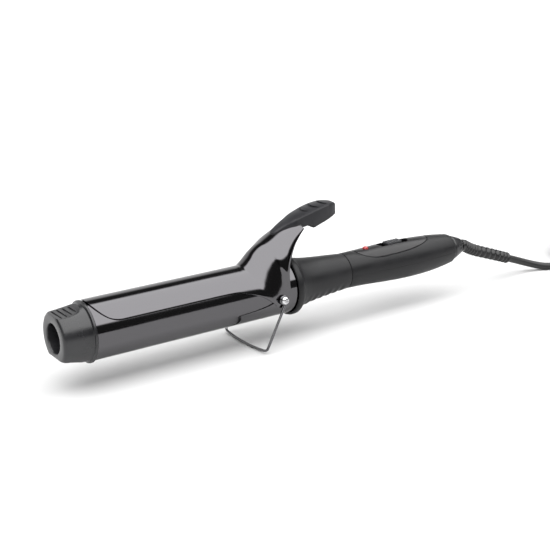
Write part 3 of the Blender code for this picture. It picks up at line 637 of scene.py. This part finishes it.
NOSE, NOSE_LENGTH, NOSE_STEPS, TONGUE_ANGLE = 22.3, 17.7, 24, 63.5
TONGUE_ROWS = (48, 58, 70, 82, 95, 108)


def smoothed(stations, pieces):
    """Reads the stations on a smooth curve through them, with so many pieces between neighbours."""
    rows = [stations[0], *stations, stations[-1]]
    read = []
    for a, b, c, d in zip(rows, rows[1:], rows[2:], rows[3:]):
        for i in range(pieces):
            read.append(tuple(between(*four, i / pieces) for four in zip(a, b, c, d)))
    read.append(tuple(stations[-1]))
    return read


def clip_stations(radius, pieces):
    """The rounded nose and the straight tongue lie on the barrel; the lever's stations lift off it."""
    stations = []
    for i in range(NOSE_STEPS + 1):
        share = 1 - math.cos(math.pi / 2 * i / NOSE_STEPS)
        x = NOSE + NOSE_LENGTH * share
        angle = max(3.0, TONGUE_ANGLE * math.sqrt(max(0.0, 1 - (1 - share) ** 2)))
        turn = math.radians(angle)
        stations.append((x, radius, x, radius * math.cos(turn), radius * math.sin(turn), angle))
    for x in TONGUE_ROWS:
        turn = math.radians(TONGUE_ANGLE)
        stations.append((x, radius, x, radius * math.cos(turn), radius * math.sin(turn), TONGUE_ANGLE))
    grown = radius - CLIP_RADIUS
    lever = []
    for ridge_x, ridge_z, edge_x, edge_z, half, angle in LEVER_STATIONS:
        lever.append((ridge_x, ridge_z + grown, edge_x, edge_z, half + grown, angle))
    return stations[:-1] + smoothed([stations[-1], *lever], pieces)


def across(station, count):
    """Points over one station from its near edge to its far edge."""
    ridge_x, ridge_z, edge_x, edge_z, half, angle = station
    full = math.radians(angle)
    points = []
    for i in range(-count, count + 1):
        turn = full * abs(i) / count
        down = (1 - math.cos(turn)) / (1 - math.cos(full))
        side = half * math.sin(turn) / math.sin(full) * (1 if i > 0 else -1)
        points.append((ridge_x + (edge_x - ridge_x) * down, side, ridge_z + (edge_z - ridge_z) * down))
    return points


def loft(name, rows, closed=False):
    """A grid moved onto rows of points, in mm; closed rows are welded and their ends filled."""
    bpy.ops.object.select_all(action="DESELECT")
    longways, sideways = len(rows) - 1, len(rows[0]) - 1
    bpy.ops.mesh.primitive_grid_add(x_subdivisions=longways, y_subdivisions=sideways, size=1.0)
    piece = bpy.context.object
    piece.name = piece.data.name = name
    for vertex in piece.data.vertices:
        i = round((vertex.co.x + 0.5) * longways)
        j = round((vertex.co.y + 0.5) * sideways)
        vertex.co = at(*rows[i][j])
    bpy.ops.object.mode_set(mode="EDIT")
    bpy.ops.mesh.select_all(action="SELECT")
    if closed:
        bpy.ops.mesh.remove_doubles(threshold=WELD)
        bpy.ops.mesh.fill_holes(sides=0)
        bpy.ops.mesh.select_all(action="SELECT")
    bpy.ops.mesh.normals_make_consistent(inside=False)
    bpy.ops.object.mode_set(mode="OBJECT")
    return piece


clip = loft("clip_sheet", [across(s, 24) for s in clip_stations(CLIP_RADIUS, 8)])
top_face = max(clip.data.polygons, key=lambda face: face.center.z)
if top_face.normal.z < 0:
    clip.data.flip_normals()
apply(clip, "SOLIDIFY", thickness=SHEET * MM, offset=1.0, use_even_offset=True)
round_edges(clip, 0.22, 2, angle=60, sharp=45)
finish(clip, titanium, "clip", "titanium_coating", "clip")

# ------------------------ thumb rest
# A leaf shaped pad moulded in black glass filled nylon and screwed to the lever from below. Its top is
# crowned and has three curved grips cut in it; its skirt hides the screw.

PAD_SECTIONS = [
    # x, half width, z of the top's edge, crown, z of the underside
    (160.5, 1.2, 38.7, 0.1, 34.0), (162.2, 3.0, 39.7, 0.2, 34.8), (166.0, 3.9, 41.7, 0.3, 36.4),
    (170.0, 4.9, 43.5, 0.4, 37.6), (174.0, 5.9, 45.0, 0.5, 38.6), (178.0, 6.9, 46.6, 0.6, 39.4),
    (182.0, 7.6, 48.0, 0.7, 40.2), (188.8, 8.3, 49.9, 0.8, 41.3), (190.0, 8.3, 50.3, 0.8, 38.7),
    (196.0, 8.4, 51.6, 0.8, 40.4), (202.0, 7.7, 52.6, 0.7, 42.0), (206.0, 6.6, 52.9, 0.5, 43.0),
    (209.6, 5.0, 52.6, 0.4, 43.7), (211.4, 4.0, 51.8, 0.3, 44.1), (212.1, 3.2, 51.1, 0.25, 44.4),
    (212.45, 2.2, 50.2, 0.2, 44.8),
]


def pad_row(section):
    """One closed section: a flat underside, upright sides, a chamfer each side and the crowned top."""
    x, half, top, crown, bottom = section
    chamfer = min(0.6, 0.25 * half)
    inner = half - chamfer
    over = [(inner * i / 5, top - 0.05 + crown * (1 - (i / 5) ** 2)) for i in range(-5, 6)]
    row = [(-half + 0.2, bottom), (-half, bottom + 0.3), (-half, top - 0.2 - chamfer), *over]
    row += [(half, top - 0.2 - chamfer), (half, bottom + 0.3), (half - 0.2, bottom)]
    row.append(row[0])
    return [(x, y, z) for y, z in row]


pad = loft("thumb_rest_pad", [pad_row(s) for s in smoothed(PAD_SECTIONS, 5)], closed=True)
# The pad's bed for the lever is cut by a solid of the lever's outer shape, a hair larger.
BED_GAP, BED_START, BED_BOTTOM = 0.05, 150, 20.0
bed_rows = []
for station in clip_stations(CLIP_RADIUS + SHEET + BED_GAP, 6):
    if station[0] > BED_START:
        points = across(station, 12)
        near, far = points[0], points[-1]
        bed_rows.append([(near[0], near[1], BED_BOTTOM), *points, (far[0], far[1], BED_BOTTOM)])
bed_rows.append([(x + 1.0, y, z + (0.25 if z > BED_BOTTOM else 0)) for x, y, z in bed_rows[-1]])
cut(pad, loft("lever_bed", [[*row, row[0]] for row in bed_rows], closed=True))
# Each grip: x and z of its middle, its reach to each side and its depth. It bows back and rises a little.
GRIP_TURN, GRIP_RISE = 46, 0.24
GRIPS = ((186.0, 49.8, 5.0, 1.0), (193.4, 51.5, 6.6, 1.25), (201.0, 52.6, 5.4, 1.1))
for number, (x, z, reach, size) in enumerate(GRIPS, start=1):
    arc = [math.radians(a) for a in range(-GRIP_TURN, GRIP_TURN + 1, 4)]
    bow = reach / math.sin(math.radians(GRIP_TURN))
    line = []
    for a in arc:
        behind = bow * (1 - math.cos(a))
        line.append(at(x + behind, bow * math.sin(a), z + GRIP_RISE * behind))
    taper = [math.cos(a * 1.75) ** 0.6 + 0.08 for a in arc]
    tool = tube(f"grip_tool_{number}", line, size * MM, taper, sides=4)
    pick(tool)
    bpy.ops.object.convert(target="MESH")
    weld(tool)
    cut(pad, tool)
shade(pad, 38)

# Moulded black nylon: satin charcoal with a fine mould grain.
pad_nylon, shader = start_material("moulded black nylon", "#202023", 0.4, Specular_IOR_Level=0.25)
grain(pad_nylon, shader, 0.35, 0.02, 0.34, 0.46, "#242427", "#1c1c1f")
finish(pad, pad_nylon, "clip", "black_plastic", "thumb_rest")

# ------------------------ pivot screws
# A shouldered steel screw each side holds the clip's ear and the stand's eye, and screws into the barrel's
# bush. Its domed head is plated and has a cross recess.

# Bright nickel plate on steel: a clean mirror, softened a little by handling.
nickel, shader = start_material("bright nickel plate", "#d6d6d8", 0.12, 1.0)
grain(nickel, shader, 0.5, 0.002, 0.08, 0.18, "#dcdcde", "#cbcbcd")
pivot = at(155.0, 0, -1.8)
for side, name in ((-1, "near"), (1, "far")):
    screw = turned(
        f"pivot_screw_head_{name}",
        [
            (13.2, 1.0), (13.5, 1.4), (23.95, 1.4), (23.95, 2.5), (24.05, 2.72), (24.3, 2.82),
            (24.6, 2.78), (25.2, 2.5), (25.7, 2.05), (26.05, 1.4), (26.22, 0.6), (26.25, 0.15),
        ],
        pivot, turn=(0, 0, side * math.pi / 2), sides=48,
    )
    recess_centre = pivot + Vector((0, side * 26.3 * MM, 0))
    for number, size in enumerate(((3.0, 2.0, 0.62), (0.62, 2.0, 3.0)), start=1):
        cut(screw, block(f"recess_{number}", size, recess_centre))
    round_edges(screw, 0.08, 2, angle=45, sharp=40)
    finish(screw, nickel, "iron", "bright_steel", f"pivot_screw_{name}")

# ------------------------ clip spring
# A torsion spring of four turns of 1.2 mm spring wire, under the lever. One leg bears on the barrel and the
# other lifts the lever, so that the clip shuts on the barrel.

COIL_RADIUS, COIL_PITCH, COIL_TURNS, COIL_START, PER_TURN = 3.4, 1.45, 4, 255, 28
COIL_X, COIL_Y, COIL_Z = 157.0, -2.9, 24.1
spring_line = [at(*p) for p in ((144.0, -3.3, 19.9), (151.0, -3.2, 20.4))]
for i in range(COIL_TURNS * PER_TURN + 10):
    turn = math.radians(COIL_START) + 2 * math.pi * i / PER_TURN
    along, up = COIL_RADIUS * math.cos(turn), COIL_RADIUS * math.sin(turn)
    spring_line.append(at(COIL_X + along, COIL_Y + COIL_PITCH * i / PER_TURN, COIL_Z + up))
spring_line += [at(*p) for p in ((162.6, 3.2, 30.0), (166.2, 3.3, 38.0))]
spring = tube("clip_spring_wire", spring_line, 0.6 * MM, sides=3)

# Drawn spring steel: oiled grey wire with a fine even grain.
spring_steel, shader = start_material("drawn spring steel", "#8c8c8e", 0.3, 1.0)
grain(spring_steel, shader, 0.4, 0.004, 0.24, 0.38, "#949496", "#7d7d80")
finish(spring, spring_steel, "iron", "spring_steel", "clip_spring")

# ------------------------ wire stand
# One length of 1.8 mm plated spring wire: an eye round each pivot screw, a leg each side and a bowed foot
# between them, bent round small mandrels at the corners. It folds about the pivot.

LEAN, LEG, REACH, BOW, EYE = math.radians(28.7), 33.4, 37.4, 1.7, 2.45
TOP_Y, FOOT_Y, EYE_TURN, EYE_STEPS = 22.75, 26.4, 290, 36
FOOT_ROWS = (22.0, 17.0, 12.0, 7.0, 2.5)
down = Vector((-math.sin(LEAN), 0, -math.cos(LEAN)))
back = Vector((math.cos(LEAN), 0, -math.sin(LEAN)))


def stand_point(along, behind, side):
    """A place so many mm from the pivot along the leaning leg, behind it and to the side."""
    return pivot + (down * along + back * behind + Vector((0, side, 0))) * MM


half_loop = []
for i in range(EYE_STEPS + 1):
    turn = math.radians(EYE_TURN - EYE_TURN * i / EYE_STEPS)
    half_loop.append(stand_point(-EYE * math.sin(turn), EYE * math.cos(turn), TOP_Y))
leg_route = []
for share in (0.0, 0.25, 0.5, 0.75, 1.0):
    leg_route.append(stand_point(LEG * share, EYE * (1 - share), TOP_Y + (FOOT_Y - TOP_Y) * share))
corner = REACH - BOW
leg_route.append(stand_point(LEG + 0.55 * (corner - LEG), 0, FOOT_Y - 0.35))
leg_route.append(stand_point(corner - 0.1, 0, FOOT_Y - 1.5))
for side in FOOT_ROWS:
    leg_route.append(stand_point(REACH - BOW * (side / FOOT_Y) ** 2, 0, side))
half_loop += smooth_route(leg_route, 0.5 * MM)[1:]
other_half = [Vector((p.x, -p.y, p.z)) for p in reversed(half_loop)]
stand = tube("wire_stand_loop", half_loop + other_half, 0.9 * MM, sides=4)

# Black chrome plate: a dark mirror that shows the studio as thin bright and dark lines along the wire.
black_chrome, shader = start_material("black chrome plate", "#6a6a6c", 0.1, 1.0)
grain(black_chrome, shader, 0.5, 0.002, 0.07, 0.14, "#6e6e70", "#646466")
finish(stand, black_chrome, "stand", "bright_steel", "wire_stand")

# ------------------------ front grip
# The collar where the barrel enters the handle: a flared ring of soft touch nylon that keeps fingers off
# the hot barrel. Its lip stands proud of the barrel and its underside has shallow finger ribs.

COLLAR = [
    (219.4, 10.9), (219.4, 12.3), (219.25, 12.55), (219.0, 12.62), (215, 13.05), (211, 13.4),
    (205.5, 13.9), (200, 14.35), (195.5, 14.8), (191, 15.25), (186.5, 15.85), (182.5, 16.55),
    (180, 17.15), (177.8, 17.75), (176, 18.4), (175, 18.95), (174.4, 19.6), (173.8, 20.5), (172.9, 20.95),
    (171.4, 21.05), (170.2, 20.95), (169.5, 20.7), (169.1, 20.3), (169.0, 19.9), (169.1, 19.6),
    (169.5, 19.5), (172.8, 19.5), (177.5, 16.8), (182, 15.0), (191, 13.6), (219.4, 10.9),
]
RIBS_FROM, RIBS_TO, RIB_PITCH, RIB_DEPTH = 177, 214, 6.2, 0.6
# The ribbed stretch is divided every RIB_STEP, so that the ribs can be pressed into it.
RIB_STEP, REAR_EDGE = 0.8, 219
collar_line = []
for (x0, r0), (x1, r1) in zip(COLLAR, COLLAR[1:]):
    divided = RIBS_FROM < x0 <= REAR_EDGE and x1 < x0
    steps = max(1, round((x0 - x1) / RIB_STEP)) if divided else 1
    collar_line += [(x0 + (x1 - x0) * i / steps, r0 + (r1 - r0) * i / steps) for i in range(steps)]
grip = turned("front_grip_collar", [*collar_line, COLLAR[-1]], at(0, 0, 0), sides=144)
for vertex in grip.data.vertices:
    along, low = (vertex.co.x - tip_face) / MM, (vertex.co.z - axis_height) / MM
    reach = math.hypot(vertex.co.y / MM, low)
    wave = 0.5 - 0.5 * math.cos(2 * math.pi * (along - RIBS_FROM) / RIB_PITCH)
    if RIBS_FROM < along < RIBS_TO and reach > 12:
        depth = RIB_DEPTH * wave * eased((-low / reach - 0.25) / 0.5)
        vertex.co.y *= 1 - depth / reach
        vertex.co.z = axis_height + low * (1 - depth / reach) * MM

# Soft touch nylon: dark grey with a velvety grain, duller than the tip.
soft_touch, shader = start_material("soft touch nylon", "#131315", 0.46, Specular_IOR_Level=0.3)
grain(soft_touch, shader, 0.4, 0.02, 0.38, 0.5, "#161618", "#101012")
finish(grip, soft_touch, "iron", "handle_plastic", "front_grip")

# ------------------------ handle
# Two shells of the same nylon, split lengthways just below the axis and screwed together from below. A
# satin panel with a blunt leaf outline is let into the top, and carries the switch and the lamp's lens.

DROOP, DROOP_FROM, DROOP_LENGTH = 1.4, 222, 78
PARTING, PARTING_GAP = -1.5, 0.04
SHELL_WALL, PANEL_WALL, SOFT_EDGE = 1.7, 1.5, 0.14
CASING = [
    (219.7, 12.3), (219.85, 12.55), (220.1, 12.62), (227, 12.75), (235, 12.95), (243, 13.35), (250, 13.7),
    (257.5, 13.98), (265, 14.18), (271.5, 14.24), (278, 14.2), (284, 14.05), (290, 13.78), (295.5, 13.45),
    (301, 13.0), (306, 12.45), (310, 11.95), (313, 11.5), (315.2, 11.15), (316.4, 10.9), (317.1, 10.6),
    (317.5, 10.1), (317.6, 9.5),
]


def casing(name):
    """The handle's outer skin, drooping a little towards the cord."""
    skin = turned(name, CASING, at(0, 0, 0), sides=144)
    bpy.ops.object.mode_set(mode="EDIT")
    bpy.ops.mesh.select_all(action="DESELECT")
    bpy.ops.mesh.select_mode(type="FACE")
    bpy.ops.object.mode_set(mode="OBJECT")
    for face in skin.data.polygons:
        face.select = len(face.vertices) > 4
    bpy.ops.object.mode_set(mode="EDIT")
    bpy.ops.mesh.delete(type="FACE")
    bpy.ops.mesh.select_mode(type="VERT")
    bpy.ops.object.mode_set(mode="OBJECT")
    for vertex in skin.data.vertices:
        along = (vertex.co.x - tip_face) / MM
        vertex.co.z -= DROOP * eased((along - DROOP_FROM) / DROOP_LENGTH) * MM
    return skin


def half_shell(name, keep_above):
    """One shell: the skin cut at the parting line and given its wall."""
    shell = casing(name)
    bpy.ops.object.mode_set(mode="EDIT")
    bpy.ops.mesh.select_all(action="SELECT")
    level = axis_height + (PARTING + (PARTING_GAP if keep_above else -PARTING_GAP)) * MM
    bpy.ops.mesh.bisect(
        plane_co=(0, 0, level), plane_no=(0, 0, 1), clear_inner=keep_above, clear_outer=not keep_above
    )
    bpy.ops.object.mode_set(mode="OBJECT")
    apply(shell, "SOLIDIFY", thickness=SHELL_WALL * MM, offset=-1.0, use_even_offset=True)
    return shell


PANEL_FRONT, PANEL_WIDEST, PANEL_END, PANEL_HALF_WIDTH = 230.3, 256.0, 295.0, 10.7
PANEL_GAP = 0.55  # how much further out the shell's opening lies than the panel's edge
PANEL_BLUNTNESS = 2.6  # 2 would make each end a half ellipse
TOOL_LOW, TOOL_HIGH = 3, 25  # the heights that the tools through the casing's top reach


def leaf(grow):
    """The panel's outline, grown by so many mm."""
    points = []
    power = 2 / PANEL_BLUNTNESS
    for i in range(120):
        turn = 2 * math.pi * i / 120
        reach = (PANEL_END - PANEL_WIDEST if math.cos(turn) > 0 else PANEL_WIDEST - PANEL_FRONT) + grow
        side = math.copysign(abs(math.sin(turn)) ** power, math.sin(turn)) * (PANEL_HALF_WIDTH + grow)
        along = math.copysign(abs(math.cos(turn)) ** power, math.cos(turn)) * reach
        points.append((PANEL_WIDEST + along, side))
    return points


def upright(name, outline, low, high):
    """An upright bar through an (x, y) outline in mm, between two heights, as a tool that cuts."""
    bar = prism(name, outline, (high - low) / 2)
    bar.data.transform(Matrix.Translation(-at(0, 0, 0)))
    bar.data.transform(Matrix.Rotation(-math.pi / 2, 4, "X"))
    bar.data.transform(Matrix.Translation(at(0, 0, (low + high) / 2)))
    return bar


def upright_hole(name, radius, reach, centre, sides):
    """A round upright bar, as a tool that cuts."""
    return turned(name, [(-reach, radius), (reach, radius)], centre, turn=(0, math.pi / 2, 0), sides=sides)


upper = half_shell("handle_upper_cover", True)
cut(upper, upright("panel_opening", leaf(PANEL_GAP), TOOL_LOW, TOOL_HIGH))
round_edges(upper, SOFT_EDGE, 2, angle=50, sharp=40)
finish(upper, soft_touch, "iron", "handle_plastic", "handle_upper_shell")

lower = half_shell("handle_lower_cover", False)
SHELL_SCREWS, WELL_RADIUS = ((227.0, -12.75), (300.5, -14.4)), 2.7
for number, (x, bottom) in enumerate(SHELL_SCREWS, start=1):
    cut(lower, upright_hole(f"screw_well_{number}", WELL_RADIUS, 6, at(x, 0, bottom), 32))
round_edges(lower, SOFT_EDGE, 2, angle=50, sharp=40)
finish(lower, soft_touch, "iron", "handle_plastic", "handle_lower_shell")

panel = casing("control_panel_cover")
apply(panel, "SOLIDIFY", thickness=PANEL_WALL * MM, offset=-1.0, use_even_offset=True)
cut(panel, upright("panel_edge", leaf(0.0), TOOL_LOW, TOOL_HIGH), operation="INTERSECT")
SWITCH_X, SWITCH_SLOT = 264.7, (27, 7.8)
LENS_X, LENS_HOLE_RADIUS = 240.5, 2.4


def slot(length, width, x):
    """An outline with two straight sides and round ends."""
    half_length = (length - width) / 2
    right = [(x + half_length + width / 2 * math.cos(a), width / 2 * math.sin(a))
             for a in (math.radians(d) for d in range(-90, 91, 10))]
    return right + [(2 * x - px, -py) for px, py in right]


cut(panel, upright("switch_slot", slot(*SWITCH_SLOT, SWITCH_X), TOOL_LOW, TOOL_HIGH))
cut(panel, upright_hole("lens_hole", LENS_HOLE_RADIUS, 8, at(LENS_X, 0, 14), 48))
round_edges(panel, 0.35, 3, angle=50, sharp=40)

# Satin moulded ABS: a lighter, smoother grey than the shells.
panel_abs, shader = start_material("satin moulded ABS", "#171618", 0.34, Specular_IOR_Level=0.35)
grain(panel_abs, shader, 0.35, 0.008, 0.28, 0.38, "#1a191b", "#141315")
finish(panel, panel_abs, "iron", "panel_plastic", "control_panel")

# ------------------------ switch slider and lens
# The slide switch has a ribbed slider of charcoal acetal, lighter than the well it sits in, with three
# positions. The red lens is pressed into the panel over a neon lamp.

slider_low, slider_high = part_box("switch_slider")
slider_middle = (slider_low + slider_high) / 2
SLIDER_SIZE, STEM_SIZE = (13.0, 6.4, 2.6), (4.8, 3.0, 5.4)
cap_centre = (slider_middle.x, slider_middle.y, slider_high.z - 0.7 * MM)
slider = block("switch_slider_cap", SLIDER_SIZE, cap_centre, 0.55, 3)
stem_centre = (slider_middle.x, slider_middle.y, slider_low.z + 2.7 * MM)
stem = block("slider_stem_bar", STEM_SIZE, stem_centre)
cut(slider, stem, operation="UNION")
SLIDER_GROOVES, GROOVE_PITCH = 5, 2.5
for number in range(SLIDER_GROOVES):
    x = slider_middle.x + GROOVE_PITCH * (number - (SLIDER_GROOVES - 1) / 2) * MM
    groove = turned(
        f"slider_groove_{number + 1}", [(-6, 0.55), (6, 0.55)], (x, 0, slider_high.z + 0.65 * MM),
        turn=(0, 0, math.pi / 2), sides=20,
    )
    cut(slider, groove)
shade(slider, 35)

# Moulded charcoal acetal: a dry, slippery grey with a faint mould grain.
grey_acetal, shader = start_material("moulded charcoal acetal", "#2b2b2e", 0.34)
grain(grey_acetal, shader, 0.3, 0.01, 0.28, 0.4, "#303033", "#262629")
finish(slider, grey_acetal, "switch", "black_plastic", "switch_slider")

lens = turned(
    "indicator_lens_cap",
    [
        (9.6, 2.05), (12.7, 2.1), (13.1, 2.06), (13.5, 1.9), (13.85, 1.6), (14.15, 1.15), (14.35, 0.6),
        (14.4, 0.1),
    ],
    at(LENS_X, 0, 0), turn=(0, -math.pi / 2, 0), sides=48,
)

# Translucent red polycarbonate: clear and glossy, its red uneven over swirls of a few mm from the moulding.
SWIRL = 3.33
red_lens, shader = start_material(
    "red polycarbonate", "#b3262a", 0.08, Transmission_Weight=0.25, Subsurface_Weight=0.2, Coat_Weight=0.5
)
shader.inputs["Subsurface Scale"].default_value = 2 * MM
place = add_node(red_lens, "ShaderNodeTexCoord")
swirl = add_node(
    red_lens, "ShaderNodeTexNoise", values={"Scale": 1 / (SWIRL * MM), "Detail": 2.0},
    links={"Vector": (place, "Object")},
)
red_tone = add_node(red_lens, "ShaderNodeValToRGB", links={"Fac": (swirl, "Fac")})
red_tone.color_ramp.elements[0].color = hex_colour("#a31e24")
red_tone.color_ramp.elements[1].color = hex_colour("#c9383a")
red_lens.node_tree.links.new(red_tone.outputs["Color"], shader.inputs["Base Color"])
finish(lens, red_lens, "iron", "red_lens", "indicator_lens")

# ------------------------ swivel neck
# A black acetal neck that turns in a groove inside the handle's end, so that the lead does not twist. It
# tapers to the strain relief.

neck = turned(
    "swivel_neck_cone",
    [
        (307.6, 5.8), (307.8, 6.5), (310.6, 6.5), (310.6, 8.9), (314.4, 8.9), (314.4, 6.5), (318.1, 6.5),
        (318.1, 8.7), (318.25, 9.0), (318.6, 9.2), (319.6, 9.2), (320.2, 9.05), (321.6, 8.7),
        (323.4, 8.0), (325, 7.35), (326.6, 6.75), (327.6, 6.35), (328.6, 5.8), (329.0, 5.2), (329.0, 0.4),
    ],
    at(0, 0, -DROOP), sides=96,
)

# Moulded black acetal: a smooth black, a little glossier than the handle.
black_acetal, shader = start_material("moulded black acetal", "#141416", 0.3)
grain(black_acetal, shader, 0.3, 0.01, 0.24, 0.36, "#18181a", "#101012")
finish(neck, black_acetal, "swivel", "black_plastic", "swivel_neck")

# ------------------------ pieces inside, as they are
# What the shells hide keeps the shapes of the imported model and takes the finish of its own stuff.

# Extruded aluminium: dull silver with lines along the extrusion.
extruded, shader = start_material("extruded aluminium", "#c3c4c7", 0.4, 1.0)
grain(extruded, shader, 0.4, 0.01, 0.34, 0.48, "#cacbce", "#b4b5b9", stretch=(0.05, 1, 1))
# Fired ceramic: chalky cream with a faint speckle.
ceramic, shader = start_material("fired ceramic", "#c4bdae", 0.75)
grain(ceramic, shader, 0.5, 0.03, 0.68, 0.82, "#cdc6b8", "#b7af9f")
# Silicone sleeve on the inner leads: matt black, slightly dusty.
silicone, shader = start_material("silicone sleeve", "#202022", 0.6)
grain(silicone, shader, 0.4, 0.02, 0.55, 0.68, "#26262a", "#1a1a1c")
# Glass epoxy board: green lacquer, faintly uneven over the glass cloth under it.
epoxy, shader = start_material("glass epoxy board", "#1e5a3a", 0.35)
grain(epoxy, shader, 0.8, 0.015, 0.3, 0.42, "#246844", "#184d30")
INNER = {
    extruded: ("heater_shoe_upper", "heater_shoe_lower", "thermal_fuse"),
    ceramic: ("heater_plate", "barrel_bush", "indicator_lamp"),
    silicone: ("heater_lead_neutral", "heater_lead_live_front", "heater_lead_live_rear", "swivel_lead_1",
               "swivel_lead_2"),
    epoxy: ("circuit_board",),
    black_acetal: ("switch_case",),
    pin_brass: ("swivel_contact_block",),
    nickel: ("handle_screw_1", "handle_screw_2", "thumb_rest_screw"),
}
for material, names in INNER.items():
    for name in names:
        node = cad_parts[name]
        node.data.materials.clear()
        node.data.materials.append(material)

# ------------------------ floor and light
# A plain pale floor and a soft studio: one broad overhead softbox, a dim wall behind the iron and darkness
# in front of it.

bpy.ops.object.select_all(action="DESELECT")
bpy.ops.mesh.primitive_plane_add(size=80.0, location=(0, 0, cad_low[2]))
floor = bpy.context.object
floor.name = "studio_floor"
floor_paint, shader = start_material("pale studio paint", "#cfcfcf", 0.9)
floor.data.materials.append(floor_paint)
floor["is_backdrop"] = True

world = bpy.data.worlds.new("studio")
bpy.context.scene.world = world
world.use_nodes = True
sky = world.node_tree.nodes["Background"]
direction = add_node(world, "ShaderNodeTexCoord")
parts = add_node(world, "ShaderNodeSeparateXYZ", links={"Vector": (direction, "Generated")})
front = add_node(world, "ShaderNodeMath", {"operation": "MULTIPLY"}, {0: (parts, "Y")}, {1: -1.0})
angle = add_node(world, "ShaderNodeMath", {"operation": "ARCTAN2"}, {0: (front, "Value"), 1: (parts, "Z")})
share = add_node(
    world, "ShaderNodeMapRange", values={"From Min": -math.pi, "From Max": math.pi},
    links={"Value": (angle, "Value")},
)
bands = add_node(world, "ShaderNodeValToRGB", links={"Fac": (share, "Result")})
length = add_node(
    world, "ShaderNodeMapRange", values={"From Min": -1.0, "From Max": 1.0}, links={"Value": (parts, "X")}
)
reach = add_node(world, "ShaderNodeValToRGB", links={"Fac": (length, "Result")})


def fill_ramp(ramp, stops):
    """Sets the places and the grey levels of a colour ramp."""
    while len(ramp.elements) < len(stops):
        ramp.elements.new(0.5)
    for element, (position, light) in zip(ramp.elements, stops):
        element.position = position
        element.color = (light, light, light, 1.0)


# Degrees from straight up, to the back (minus) and to the front (plus), and how light it is there.
BANDS = (
    (-180, 0.3), (-92, 0.3), (-64, 0.3), (-53, 0.02), (-33, 0.02), (-27, 1.0), (56, 1.0), (61, 0.02),
    (180, 0.02),
)
fill_ramp(bands.color_ramp, [((degrees + 180) / 360, light) for degrees, light in BANDS])
# The softbox reaches from over the tip to beyond the cord; past its ends is the dimmer ceiling.
REACH_STOPS = [(0.0, 0.15), (0.12, 0.15), (0.17, 1.0), (0.88, 1.0), (0.93, 0.15), (1.0, 0.15)]
fill_ramp(reach.color_ramp, REACH_STOPS)
light = add_node(
    world, "ShaderNodeVectorMath", {"operation": "MULTIPLY"}, {0: (bands, "Color"), 1: (reach, "Color")}
)
world.node_tree.links.new(light.outputs["Vector"], sky.inputs["Color"])
sky.inputs["Strength"].default_value = 3.5
bpy.context.scene.view_settings.view_transform = "Standard"

low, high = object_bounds()
